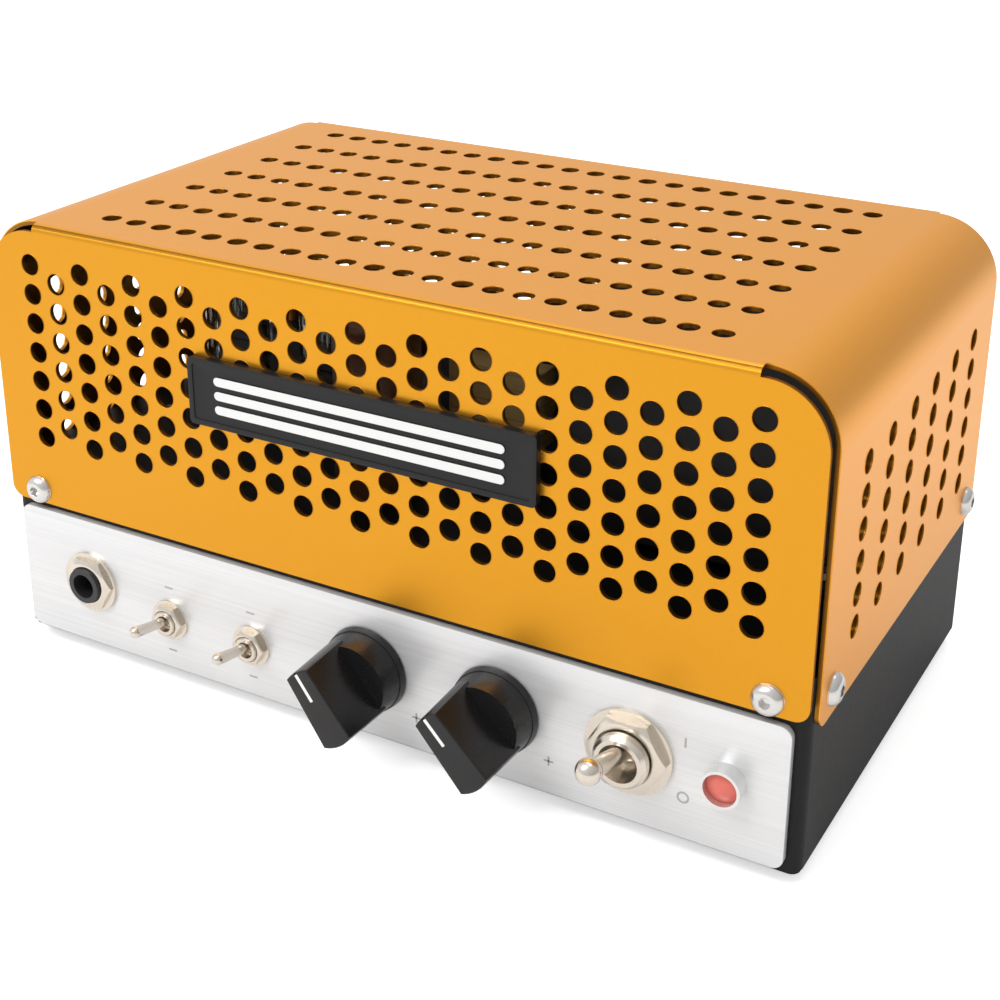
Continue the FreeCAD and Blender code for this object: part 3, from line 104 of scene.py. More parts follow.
def maths(tree: NodeTree, kind: str, a: object, b: object = 0.5) -> Socket:
    """Adds a Math node fed by sockets or numbers.

    Args:
        tree: The tree that the node goes in, of shader or geometry nodes.
        kind: The operation.
        a: The first value, a socket or a number.
        b: The second value, a socket or a number.

    Returns:
        The node's result.
    """
    node = tree.nodes.new("ShaderNodeMath")
    node.operation = kind
    for index, value in enumerate((a, b)):
        if isinstance(value, (int, float)):
            node.inputs[index].default_value = value
        else:
            tree.links.new(value, node.inputs[index])
    return node.outputs[0]


def mixed(tree: NodeTree, share: Socket, first: object, second: Colour) -> Socket:
    """Adds a colour mix.

    Args:
        tree: The tree that the node goes in.
        share: How much of the second colour shows.
        first: The first colour, or a socket that gives it.
        second: The second colour.

    Returns:
        The mixed colour.
    """
    node = tree.nodes.new("ShaderNodeMix")
    node.data_type = "RGBA"
    tree.links.new(share, node.inputs[0])
    if isinstance(first, tuple):
        node.inputs[6].default_value = (*first, 1.0)
    else:
        tree.links.new(first, node.inputs[6])
    node.inputs[7].default_value = (*second, 1.0)
    return node.outputs[2]


def scaled(tree: NodeTree, colour: Socket, share: Socket) -> Socket:
    """Adds a node that scales a colour, and returns the scaled colour."""
    node = tree.nodes.new("ShaderNodeVectorMath")
    node.operation = "SCALE"
    tree.links.new(colour, node.inputs[0])
    tree.links.new(share, node.inputs["Scale"])
    return node.outputs[0]


def grain_group() -> NodeTree:
    """Fine surface grain that can be drawn out along an axis, as brushing is.

    Returns:
        A group with Stretch, Scale and Amount in, and Value and Height out.
    """
    tree = node_group("Surface grain",
                        [("Stretch", "Vector", EVEN),
                         ("Scale", "Float", 900.0), ("Amount", "Float", 0.1)],
                        [("Value", "Float"), ("Height", "Float")])
    take, give, link = tree.nodes["In"], tree.nodes["Out"], tree.links.new
    coords = tree.nodes.new("ShaderNodeTexCoord")
    stretch = tree.nodes.new("ShaderNodeVectorMath")
    stretch.operation = "MULTIPLY"
    noise = tree.nodes.new("ShaderNodeTexNoise")
    noise.inputs["Detail"].default_value = 5.0
    noise.inputs["Roughness"].default_value = 0.65
    link(coords.outputs["Object"], stretch.inputs[0])
    link(take.outputs["Stretch"], stretch.inputs[1])
    link(stretch.outputs[0], noise.inputs["Vector"])
    link(take.outputs["Scale"], noise.inputs["Scale"])
    centred = maths(tree, "SUBTRACT", noise.outputs["Fac"], 0.5)
    swing = maths(tree, "MULTIPLY", centred, take.outputs["Amount"])
    link(maths(tree, "ADD", swing, 1.0), give.inputs["Value"])
    link(noise.outputs["Fac"], give.inputs["Height"])
    return tree


def mottle_group() -> NodeTree:
    """Broad handling marks and settled dust: a soft mask between nothing and one.

    Returns:
        A group with Scale and Cover in, and Mask out.
    """
    tree = node_group("Handling marks",
                        [("Scale", "Float", 40.0), ("Cover", "Float", 0.5)],
                        [("Mask", "Float")])
    take, give, link = tree.nodes["In"], tree.nodes["Out"], tree.links.new
    coords = tree.nodes.new("ShaderNodeTexCoord")
    noise = tree.nodes.new("ShaderNodeTexNoise")
    noise.inputs["Detail"].default_value = 6.0
    link(coords.outputs["Object"], noise.inputs["Vector"])
    link(take.outputs["Scale"], noise.inputs["Scale"])
    ramp = tree.nodes.new("ShaderNodeMapRange")
    ramp.inputs["From Min"].default_value = 0.42
    ramp.inputs["From Max"].default_value = 0.72
    link(noise.outputs["Fac"], ramp.inputs["Value"])
    link(maths(tree, "MULTIPLY", ramp.outputs[0], take.outputs["Cover"]), give.inputs["Mask"])
    return tree


def band_group() -> NodeTree:
    """Even stripes along one axis, for laminations, wound layers and printed bands.

    Returns:
        A group with Along and Pitch in, and Mask and Height out.
    """
    tree = node_group("Even bands",
                        [("Along", "Vector", (0.0, 1.0, 0.0)),
                         ("Pitch", "Float", 0.0005), ("Share", "Float", 0.3)],
                        [("Mask", "Float"), ("Height", "Float")])
    take, give, link = tree.nodes["In"], tree.nodes["Out"], tree.links.new
    coords = tree.nodes.new("ShaderNodeTexCoord")
    dot = tree.nodes.new("ShaderNodeVectorMath")
    dot.operation = "DOT_PRODUCT"
    link(coords.outputs["Object"], dot.inputs[0])
    link(take.outputs["Along"], dot.inputs[1])
    steps = maths(tree, "DIVIDE", dot.outputs["Value"], take.outputs["Pitch"])
    part = maths(tree, "FRACT", steps)
    link(maths(tree, "LESS_THAN", part, take.outputs["Share"]), give.inputs["Mask"])
    wave = maths(tree, "SINE", maths(tree, "MULTIPLY", part, math.pi))
    link(wave, give.inputs["Height"])
    return tree


GRAIN, MOTTLE, BANDS = grain_group(), mottle_group(), band_group()


# ----- finishes
@dataclass(frozen=True)
class Finish:
    """A finish with grain and handling marks, the base of every other one."""

    name: str
    colour: Colour
    roughness: float = 0.5
    metallic: float = 0.0
    grain_scale: float = 900.0
    grain: float = 0.12
    stretch: Point = EVEN
    bump: float = 0.15
    marks: float = 0.12
    marks_scale: float = 45.0
    marks_colour: Colour = (0.5, 0.48, 0.45)
    coat: float = 0.0
    settings: Tuple[Tuple[str, object], ...] = ()

    def material(self) -> bpy.types.Material:
        """Builds the finish's material the first time it is asked for.

        Returns:
            The material, the same one each time.
        """
        done = bpy.data.materials.get(self.name)
        if done:
            return done
        material = bpy.data.materials.new(self.name)
        material.use_nodes = True
        tree = material.node_tree
        shader = tree.nodes["Principled BSDF"]
        shader.inputs["Metallic"].default_value = self.metallic
        shader.inputs["Coat Weight"].default_value = self.coat
        for label, value in self.settings:
            shader.inputs[label].default_value = value
        grain = self.grouped(tree, GRAIN, {"Stretch": self.stretch, "Scale": self.grain_scale,
                                           "Amount": self.grain})
        marks = self.grouped(tree, MOTTLE, {"Scale": self.marks_scale, "Cover": self.marks})
        tone = scaled(tree, self.base_colour(tree), grain.outputs["Value"])
        share = maths(tree, "MULTIPLY", marks.outputs["Mask"], 0.5)
        worn = mixed(tree, share, tone, self.marks_colour)
        tree.links.new(worn, shader.inputs["Base Color"])
        rough = maths(tree, "MULTIPLY", grain.outputs["Value"], self.roughness)
        rough = maths(tree, "ADD", rough, maths(tree, "MULTIPLY", marks.outputs["Mask"], 0.15))
        tree.links.new(rough, shader.inputs["Roughness"])
        bump = tree.nodes.new("ShaderNodeBump")
        bump.inputs["Strength"].default_value = self.bump
        bump.inputs["Distance"].default_value = 0.0001
        tree.links.new(self.relief(tree, grain.outputs["Height"]), bump.inputs["Height"])
        tree.links.new(bump.outputs[0], shader.inputs["Normal"])
        return material

    def grouped(self, tree: NodeTree, group: NodeTree,
                values: Dict[str, object]) -> bpy.types.Node:
        """Places a shared group in the material with its own values.

        Args:
            tree: The material's tree.
            group: The shared group.
            values: Input name to value.

        Returns:
            The group node.
        """
        node = tree.nodes.new("ShaderNodeGroup")
        node.node_tree = group
        for label, value in values.items():
            node.inputs[label].default_value = value
        return node

    def base_colour(self, tree: NodeTree) -> Socket:
        """Returns the socket that gives the colour before grain and marks."""
        node = tree.nodes.new("ShaderNodeRGB")
        node.outputs[0].default_value = (*self.colour, 1.0)
        return node.outputs[0]

    def relief(self, tree: NodeTree, height: Socket) -> Socket:
        """Returns the height that the bump follows."""
        return height


@dataclass(frozen=True)
class PaintedLightAnodised(Finish):
    """Gold anodising with painted light: the wrap is coloured paler than the two end panels, a
    painted light on the top and sides.

    The cover's inner faces and the perforations' cut edges are painted darker as painted shade, by
    the inner-shade share.
    """

    # painted light: the wrap's paler colour stands for how the light falls on the top and sides
    wrap_painted_light_colour: Colour = (0.8, 0.4, 0.14)
    middle: float = 0.0108
    half_depth: float = 0.0620
    half_width: float = 0.1110
    top: float = 0.1183
    corner: float = 0.016
    skin: float = 0.0003
    # painted shade: how much darker the inner faces and cut edges are painted
    painted_inner_shade: float = 0.35
    blend: float = 0.0016

    def base_colour(self, tree: NodeTree) -> Socket:
        """Mixes the end panels' colour and the wrap's painted-light colour by depth, and paints
        shade on the inner faces.

        Returns:
            The end panels' colour outside the wrap's depth, and the wrap's painted-light colour
            within it.
        """
        coords = tree.nodes.new("ShaderNodeTexCoord")
        parts = tree.nodes.new("ShaderNodeSeparateXYZ")
        tree.links.new(coords.outputs["Object"], parts.inputs[0])
        depth = maths(tree, "ABSOLUTE", maths(tree, "SUBTRACT", parts.outputs[1], self.middle))
        # painted light: blends from the wrap's painted-light colour to the end panels' colour
        # across the fold
        ramp = tree.nodes.new("ShaderNodeMapRange")
        ramp.inputs["From Min"].default_value = self.half_depth - self.blend
        ramp.inputs["From Max"].default_value = self.half_depth - self.blend * 0.3
        tree.links.new(depth, ramp.inputs["Value"])
        painted_light_tone = mixed(tree, ramp.outputs[0], self.wrap_painted_light_colour, self.colour)
        across = maths(tree, "ABSOLUTE", parts.outputs[0])
        # painted shade: marks the faces within the cover's skin, which are painted darker
        inner_shade_mask = maths(tree, "SUBTRACT", 1.0, self.rounded(tree, parts))
        for place, edge in ((depth, self.half_depth), (across, self.half_width),
                            (parts.outputs[2], self.top)):
            within = maths(tree, "LESS_THAN", place, edge - self.skin)
            inner_shade_mask = maths(tree, "MULTIPLY", inner_shade_mask, within)
        painted_shade_scale = maths(tree, "SUBTRACT", 1.0, maths(tree, "MULTIPLY", inner_shade_mask, 1.0 - self.painted_inner_shade))
        return scaled(tree, painted_light_tone, painted_shade_scale)

    def rounded(self, tree: NodeTree, parts: bpy.types.Node) -> Socket:
        """Finds the outer skin of the long rounded corners.

        Args:
            tree: The material's tree.
            parts: The node that gives the place as three numbers.

        Returns:
            One on that skin and outside it, and nothing elsewhere.
        """
        across = maths(tree, "ABSOLUTE", parts.outputs[0])
        squares = []
        for place, edge in ((across, self.half_width), (parts.outputs[2], self.top)):
            past = maths(tree, "SUBTRACT", place, edge - self.corner)
            past = maths(tree, "MAXIMUM", past, 0.0)
            squares.append(maths(tree, "MULTIPLY", past, past))
        far = maths(tree, "SQRT", maths(tree, "ADD", *squares))
        return maths(tree, "GREATER_THAN", far, self.corner - self.skin)


@dataclass(frozen=True)
class BandedFinish(Finish):
    """A finish crossed by even bands: stacked laminations, tape layers or printed rings."""

    band_colour: Colour = (0.05, 0.05, 0.05)
    along: Point = (0.0, 1.0, 0.0)
    pitch: float = 0.0005
    share: float = 0.3

    def bands(self, tree: NodeTree) -> bpy.types.Node:
        """Places the band group."""
        values = {"Along": self.along, "Pitch": self.pitch, "Share": self.share}
        return self.grouped(tree, BANDS, values)

    def base_colour(self, tree: NodeTree) -> Socket:
        """Crosses the body colour with bands.

        Returns:
            The banded colour.
        """
        mask = self.bands(tree).outputs["Mask"]
        return mixed(tree, mask, self.colour, self.band_colour)

    def relief(self, tree: NodeTree, height: Socket) -> Socket:
        """Returns grain over the bands' rounded height."""
        grain = maths(tree, "MULTIPLY", height, 0.3)
        return maths(tree, "ADD", grain, self.bands(tree).outputs["Height"])


class Palette:
    """Every finish of the amplifier, by what it is put on."""

    # The gold's paler wrap colour is painted light on the top and sides.
    GOLD = PaintedLightAnodised("gold anodising", (0.73, 0.325, 0.022), 0.34, 0.92, 1500.0, 0.10,
                           (1.0, 1.0, 4.0), 0.10, 0.04, 30.0, (0.9, 0.45, 0.05),
                           wrap_painted_light_colour=(0.93, 0.40, 0.045))
    PLATE = Finish("brushed aluminium", (0.76, 0.76, 0.765), 0.34, 0.45, 700.0, 0.28,
                   (0.02, 1.0, 2.4), 0.22, 0.08, 25.0, (0.8, 0.8, 0.8))
    MARKS = Finish("etched marks", (0.42, 0.42, 0.43), 0.6, 0.2, 1200.0, 0.2, (0.1, 1.0, 2.0), 0.1)
    CHASSIS = Finish("black powder coat", (0.008, 0.008, 0.0083), 0.5, 0.0, 2600.0, 0.55,
                     EVEN, 0.75, 0.08, 60.0, (0.02, 0.02, 0.02),
                     settings=(("Specular IOR Level", 0.22),))
    RUBBER = Finish("black rubber", (0.008, 0.008, 0.008), 0.8, 0.0, 2000.0, 0.4,
                    EVEN, 0.5, 0.3, 90.0, (0.07, 0.07, 0.065))
    KNOB = Finish("knob moulding", (0.009, 0.009, 0.0095), 0.26, 0.0, 1800.0, 0.3,
                  EVEN, 0.12, 0.08, 120.0, (0.03, 0.03, 0.03), 0.0,
                  (("Specular IOR Level", 0.4),))
    INK = Finish("white filled line", (0.85, 0.85, 0.84), 0.5, 0.0, 2500.0, 0.1)
    NICKEL = Finish("bright nickel", (0.72, 0.66, 0.58), 0.20, 0.95, 1400.0, 0.2,
                    EVEN, 0.06, 0.15, 130.0, (0.6, 0.5, 0.4))
    SCREW = Finish("stainless screw", (0.70, 0.69, 0.67), 0.22, 0.95, 1800.0, 0.22,
                   EVEN, 0.08, 0.15, 160.0, (0.5, 0.48, 0.45))
    ZINC = Finish("zinc plating", (0.62, 0.62, 0.60), 0.38, 0.9, 1200.0, 0.3,
                  EVEN, 0.15, 0.3, 90.0, (0.7, 0.65, 0.5))
    BEZEL = Finish("turned aluminium", (0.78, 0.79, 0.78), 0.26, 0.85, 1600.0, 0.2,
                   (1.0, 6.0, 1.0), 0.1, 0.1, 90.0, (0.8, 0.8, 0.8))
    LENS = Finish("coral lens", (0.60, 0.12, 0.09), 0.16, 0.0, 500.0, 0.12,
                  EVEN, 0.02, 0.05, 200.0, (0.9, 0.3, 0.2), 0.6,
                  (("Subsurface Weight", 0.35), ("Subsurface Scale", 0.002),
                   ("Emission Color", (1.0, 0.12, 0.07, 1.0)), ("Emission Strength", 0.12)))
    BADGE = Finish("badge enamel", (0.010, 0.010, 0.0105), 0.42, 0.0, 1500.0, 0.4,
                   EVEN, 0.25, 0.08, 80.0, (0.03, 0.03, 0.03),
                   settings=(("Specular IOR Level", 0.3),))
    INLAY = Finish("white enamel", (0.80, 0.80, 0.79), 0.35, 0.0, 1500.0, 0.06,
                   EVEN, 0.1, 0.08, 90.0, (0.6, 0.6, 0.58), 0.3)
    PLASTIC = Finish("black thermoplastic", (0.02, 0.02, 0.021), 0.42, 0.0, 1700.0, 0.35,
                     EVEN, 0.3, 0.15, 80.0, (0.07, 0.07, 0.07))
    LED = Finish("red lamp body", (0.55, 0.02, 0.02), 0.2, 0.0, 800.0, 0.1)
    FUSE = BandedFinish("fuse glass and caps", (0.75, 0.76, 0.75), 0.2, 0.4, 900.0, 0.1,
                        band_colour=(0.55, 0.55, 0.53), pitch=0.005)
    CORE = BandedFinish("laminated core", (0.075, 0.074, 0.072), 0.45, 0.6, 1100.0, 0.3,
                        EVEN, 0.5, 0.3, 70.0, (0.16, 0.10, 0.06),
                        band_colour=(0.02, 0.02, 0.02), pitch=0.0007, share=0.25)
    BELL = Finish("transformer bell", (0.020, 0.020, 0.021), 0.35, 0.1, 1500.0, 0.4,
                  EVEN, 0.4, 0.2, 60.0, (0.07, 0.06, 0.05))
    PAPER = BandedFinish("winding tape", (0.62, 0.42, 0.16), 0.4, 0.0, 900.0, 0.2,
                         EVEN, 0.4, 0.3, 80.0, (0.4, 0.28, 0.12),
                         band_colour=(0.50, 0.32, 0.11), along=(0.0, 0.0, 1.0), pitch=0.004,
                         share=0.12)
    GLASS = Finish("valve glass", (0.94, 0.95, 0.95), 0.03, 0.0, 500.0, 0.05,
                   EVEN, 0.01, 0.02, settings=(("Transmission Weight", 1.0),))
    ELECTRODE = BandedFinish("valve electrode", (0.17, 0.17, 0.17), 0.45, 0.7, 1200.0, 0.3,
                             band_colour=(0.08, 0.08, 0.08), along=(0.0, 0.0, 1.0),
                             pitch=0.004, share=0.15)
    CERAMIC = Finish("socket ceramic", (0.78, 0.76, 0.70), 0.35, 0.0, 1200.0, 0.1,
                     EVEN, 0.2, 0.25, 100.0, (0.5, 0.46, 0.38))
    BOARD = BandedFinish("solder mask", (0.015, 0.16, 0.06), 0.3, 0.0, 900.0, 0.2,
                         band_colour=(0.03, 0.22, 0.09), along=(1.0, 0.35, 0.0), pitch=0.0031,
                         share=0.45)
    SLEEVE = BandedFinish("capacitor sleeve", (0.03, 0.035, 0.06), 0.3, 0.0, 900.0, 0.2,
                          band_colour=(0.55, 0.56, 0.58), along=(1.0, 0.0, 0.0), pitch=0.0180,
                          share=0.12)
    CAN = Finish("brown can sleeve", (0.16, 0.062, 0.024), 0.32, 0.0, 700.0, 0.25,
                 (1.0, 1.0, 0.3), 0.15, 0.2, 50.0, (0.3, 0.16, 0.08))
    RESISTOR = BandedFinish("resistor body", (0.16, 0.33, 0.45), 0.4, 0.0, 900.0, 0.15,
                            band_colour=(0.35, 0.12, 0.03), along=(0.0, 1.0, 0.0), pitch=0.0016,
                            share=0.4)
    WIRE_BLACK = Finish("black lead", (0.02, 0.02, 0.02), 0.4, 0.0, 1500.0, 0.2)
    WIRE_BLUE = Finish("blue lead", (0.03, 0.09, 0.42), 0.4, 0.0, 1500.0, 0.2)
    WIRE_BROWN = Finish("brown lead", (0.22, 0.08, 0.03), 0.4, 0.0, 1500.0, 0.2)
    FLOOR = Finish("studio floor", (0.93, 0.93, 0.93), 0.8, 0.0, 30.0, 0.01,
                   EVEN, 0.0, 0.0,
                   settings=(("Emission Color", (1.0, 1.0, 1.0, 1.0)), ("Emission Strength", 0.5)))


DRESSED: Tuple[Tuple[Finish, str], ...] = (
    (Palette.GOLD, "cover"),
    (Palette.ZINC, "rivet_nuts badge_nuts bottom_screws pot_bodies inlet_fixings "
                   "power_transformer_bolts deck_screws standoffs"),
    (Palette.CHASSIS, "chassis bottom_plate"),
    (Palette.PLASTIC, "jack_bodies mains_inlet fuse_drawer"),
    (Palette.NICKEL, "jack_washers toggle_bodies control_washers toggle_a_lever toggle_b_lever "
                     "pot_nuts gain_shaft volume_shaft power_switch_body power_switch_washer "
                     "power_lever pilot_nut inlet_pins"),
    (Palette.BEZEL, "pilot_bezel"),
    (Palette.LENS, "pilot_lens"),
    (Palette.LED, "pilot_led"),
    (Palette.FUSE, "fuse"),
    (Palette.CORE, "power_transformer_core output_transformer_core"),
    (Palette.PAPER, "power_transformer_coil output_transformer_coil"),
    (Palette.BELL, "power_transformer_bells output_transformer_frame"),
    (Palette.GLASS, "tube_glass"),
    (Palette.ELECTRODE, "tube_electrodes"),
    (Palette.CERAMIC, "tube_sockets"),
    (Palette.CAN, "can_capacitor"),
    (Palette.BOARD, "circuit_board"),
    (Palette.SLEEVE, "board_capacitors"),
    (Palette.RESISTOR, "resistors"),
    (Palette.RUBBER, "deck_grommets"),
    (Palette.WIRE_BLACK, "signal_wires"),
    (Palette.WIRE_BROWN, "mains_wires"),
    (Palette.WIRE_BLUE, "output_wires"),
    (Palette.INK, "gain_line volume_line"),
)


# ----- geometry nodes
def geometry_tree(name: str, inputs: Sequence[Tuple[str, str, object]]) -> NodeTree:
    """Makes a Geometry Nodes tree that holds only its input and output nodes.

    Args:
        name: The tree's name.
        inputs: Name, kind of socket and first value of each input after Geometry.

    Returns:
        The tree.
    """
    geometry = ("Geometry", "Geometry")
    return node_group(name, [(*geometry, None), *inputs], [geometry], "GeometryNodeTree")


def finish_tree(tree: NodeTree, geometry: Socket, smooth: bool = True) -> None:
    """Ends a tree with Realize Instances, shading and Set Material, fed by its Finish input.

    Args:
        tree: The tree to end.
        geometry: What the tree has made so far.
        smooth: Whether the faces are shaded smooth.
    """
    link = tree.links.new
    real = tree.nodes.new("GeometryNodeRealizeInstances")
    shade = tree.nodes.new("GeometryNodeSetShadeSmooth")
    shade.inputs["Shade Smooth"].default_value = smooth
    paint = tree.nodes.new("GeometryNodeSetMaterial")
    link(geometry, real.inputs["Geometry"])
    link(real.outputs[0], shade.inputs[0])
    link(shade.outputs[0], paint.inputs["Geometry"])
    link(tree.nodes["In"].outputs["Finish"], paint.inputs["Material"])
    link(paint.outputs[0], tree.nodes["Out"].inputs[0])


def bead_rings(tree: NodeTree, points: Socket, labels: Sequence[str],
               steps: int, sides: int) -> None:
    """Sets a ring of round bead on each point, places and turns the lot, and ends the tree.

    Args:
        tree: The tree, which has a Turn input.
        points: Where the rings go.
        labels: The inputs that give the ring's radius, the bead's radius and the place.
        steps: Points round each ring.
        sides: Points round the bead.
    """
    take, link, new = tree.nodes["In"].outputs, tree.links.new, tree.nodes.new
    sweep = new("GeometryNodeCurveToMesh")
    for label, count, socket in zip(labels, (steps, sides), ("Curve", "Profile Curve")):
        circle = new("GeometryNodeCurvePrimitiveCircle")
        circle.inputs["Resolution"].default_value = count
        link(take[label], circle.inputs["Radius"])
        link(circle.outputs[0], sweep.inputs[socket])
    copies = new("GeometryNodeInstanceOnPoints")
    link(points, copies.inputs["Points"])
    link(sweep.outputs[0], copies.inputs["Instance"])
    place = new("GeometryNodeTransform")
    link(copies.outputs[0], place.inputs["Geometry"])
    link(take[labels[2]], place.inputs["Translation"])
    link(take["Turn"], place.inputs["Rotation"])
    finish_tree(tree, place.outputs[0])


def fitted_copies_tree() -> NodeTree:
    """Sets a copy of one piece on each point, its +Z turned to the point's facing.

    Returns:
        A tree with Piece and Finish in, which reads the points' facing and spin attributes.
    """
    tree = geometry_tree("Fitted copies", [("Piece", "Object", None),
                                           ("Finish", "Material", None)])
    take, link, new = tree.nodes["In"], tree.links.new, tree.nodes.new
    piece = new("GeometryNodeObjectInfo")
    link(take.outputs["Piece"], piece.inputs["Object"])
    read = {}
    for label, kind in (("facing", "FLOAT_VECTOR"), ("spin", "FLOAT")):
        node = new("GeometryNodeInputNamedAttribute")
        node.data_type = kind
        node.inputs["Name"].default_value = label
        read[label] = node.outputs["Attribute"]
    align = new("FunctionNodeAlignRotationToVector")
    align.axis = "Z"
    link(read["facing"], align.inputs["Vector"])
    about = new("FunctionNodeAxisAngleToRotation")
    about.inputs["Axis"].default_value = (0.0, 0.0, 1.0)
    link(read["spin"], about.inputs["Angle"])
    turn = new("FunctionNodeRotateRotation")
    turn.rotation_space = "LOCAL"
    link(align.outputs[0], turn.inputs[0])
    link(about.outputs[0], turn.inputs[1])
    copies = new("GeometryNodeInstanceOnPoints")
    link(take.outputs["Geometry"], copies.inputs["Points"])
    link(piece.outputs["Geometry"], copies.inputs["Instance"])
    link(turn.outputs[0], copies.inputs["Rotation"])
    finish_tree(tree, copies.outputs[0], False)
    return tree


def hole_rims_tree() -> NodeTree:
    """Rolls a fine broken edge round each perforation of a grid, staggered or square.

    Returns:
        A tree with the grid's counts, pitches, stagger, hole radius, bead, place and finish in.
    """
    tree = geometry_tree("Perforation rims", [
        ("Columns", "Int", 25), ("Rows", "Int", 13),
        ("Column pitch", "Float", 0.008), ("Row pitch", "Float", 0.00386),
        ("Staggered", "Bool", True), ("Hole radius", "Float", 0.00275),
        ("Bead", "Float", 0.0001), ("Centre", "Vector", None),
        ("Turn", "Vector", None), ("Finish", "Material", None)])
    take, link, new = tree.nodes["In"].outputs, tree.links.new, tree.nodes.new
    grid = new("GeometryNodeMeshGrid")
    link(take["Columns"], grid.inputs["Vertices X"])
    link(take["Rows"], grid.inputs["Vertices Y"])
    for count, pitch, size in (("Columns", "Column pitch", "Size X"),
                               ("Rows", "Row pitch", "Size Y")):
        gaps = maths(tree, "SUBTRACT", take[count], 1.0)
        link(maths(tree, "MULTIPLY", gaps, take[pitch]), grid.inputs[size])
    index = new("GeometryNodeInputIndex").outputs[0]
    column = maths(tree, "FLOOR", maths(tree, "DIVIDE", index, take["Rows"]), 0.0)
    row = maths(tree, "MODULO", index, take["Rows"])
    odd = maths(tree, "MODULO", maths(tree, "ADD", column, row), 2.0)
    drop = maths(tree, "MULTIPLY", odd, take["Staggered"])
    remove = new("GeometryNodeDeleteGeometry")
    remove.domain = "POINT"
    link(grid.outputs["Mesh"], remove.inputs["Geometry"])
    link(maths(tree, "GREATER_THAN", drop, 0.5), remove.inputs["Selection"])
    bead_rings(tree, remove.outputs[0], ("Hole radius", "Bead", "Centre"), 20, 5)
    return tree


def thread_tree() -> NodeTree:
    """Cuts rings of thread along a bush: even rounded ridges about an axis.

    Returns:
        A tree with Radius, Ridge, Pitch, Count, Start, Turn and Finish in.
    """
    tree = geometry_tree("Thread ridges", [
        ("Radius", "Float", 0.003), ("Ridge", "Float", 0.0002),
        ("Pitch", "Float", 0.0005), ("Count", "Int", 4),
        ("Start", "Vector", None), ("Turn", "Vector", None),
        ("Finish", "Material", None)])
    take, link, new = tree.nodes["In"].outputs, tree.links.new, tree.nodes.new
    step = new("ShaderNodeCombineXYZ")
    link(take["Pitch"], step.inputs["Z"])
    line = new("GeometryNodeMeshLine")
    link(take["Count"], line.inputs["Count"])
    link(step.outputs[0], line.inputs["Offset"])
    bead_rings(tree, line.outputs[0], ("Radius", "Ridge", "Start"), 48, 6)
    return tree


class Trees:
    """The Geometry Nodes trees, each built once."""

    COPIES = fitted_copies_tree()
    RIMS = hole_rims_tree()
    THREAD = thread_tree()


def grown(name: str, tree: NodeTree, values: Dict[str, object],
          seed: Optional[Mesh] = None) -> Object:
    """Evaluates a tree on a mesh and keeps the result as a plain mesh object.

    Args:
        name: The finished piece's name.
        tree: The Geometry Nodes tree.
        values: Input name to value.
        seed: The mesh the modifier sits on; an empty one when left out.

    Returns:
        The new object, with no modifier.
    """
    host = linked(name + "_seed", seed or bpy.data.meshes.new(name + "_seed"))
    modifier = host.modifiers.new(name, "NODES")
    modifier.node_group = tree
    for item in tree.interface.items_tree:
        if item.item_type == "SOCKET" and item.in_out == "INPUT" and item.name in values:
            modifier[item.identifier] = values[item.name]
    bpy.context.view_layer.update()
    graph = bpy.context.evaluated_depsgraph_get()
    mesh = bpy.data.meshes.new_from_object(host.evaluated_get(graph), depsgraph=graph)
    mesh.name = name
    host.modifiers.remove(modifier)
    bpy.data.objects.remove(host)
    return linked(name, mesh)


# ----- mesh helpers
def linked(name: str, data: bpy.types.ID) -> Object:
    """Puts a mesh, a light or a camera in the scene as an object at the origin."""
    piece = bpy.data.objects.new(name, data)
    bpy.context.scene.collection.objects.link(piece)
    return piece


def spun(name: str, rings: Sequence[Tuple[ByAngle, ByAngle]],
         steps: int, closed: bool = True) -> Mesh:
    """Builds a turned mesh about Z from rings.

    Args:
        name: The mesh's name.
        rings: For each ring, its radius and its height, mm.
        steps: Points round each ring.
        closed: Joins the last ring back to the first, as a nut's bore needs.

    Returns:
        The mesh, in metres, with its faces outwards.
    """
    work = bmesh.new()
    loops = []
    for radius, height in rings:
        loop = []
        for i in range(steps):
            a = 2 * math.pi * i / steps
            r, z = (v(a) * MM if callable(v) else v * MM for v in (radius, height))
            loop.append(work.verts.new((r * math.cos(a), r * math.sin(a), z)))
        loops.append(loop)
    pairs = list(zip(loops, loops[1:] + (loops[:1] if closed else [])))
    for low, high in pairs[: len(loops) if closed else len(loops) - 1]:
        for i in range(steps):
            work.faces.new((low[i], low[(i + 1) % steps], high[(i + 1) % steps], high[i]))
    if not closed:
        work.faces.new(loops[0][::-1])
        work.faces.new(loops[-1])
    bmesh.ops.remove_doubles(work, verts=work.verts, dist=1e-7)
    bmesh.ops.recalc_face_normals(work, faces=work.faces)
    mesh = bpy.data.meshes.new(name)
    work.to_mesh(mesh)
    work.free()
    return mesh


def hexagon(across: float) -> Callable[[float], float]:
    """Returns the radius of a hexagon of a given width across flats, by angle."""
    return lambda angle: across / 2 / math.cos((angle % (math.pi / 3)) - math.pi / 6)


def smooth_by_angle(mesh: Mesh, degrees: float = 35.0) -> None:
    """Shades a mesh smooth and keeps its hard edges.

    Args:
        mesh: The mesh to shade.
        degrees: The turn past which an edge stays hard.
    """
    work = bmesh.new()
    work.from_mesh(mesh)
    for face in work.faces:
        face.smooth = True
    for edge in work.edges:
        edge.smooth = len(edge.link_faces) == 2 and edge.calc_face_angle(0) < math.radians(degrees)
    work.to_mesh(mesh)
    work.free()


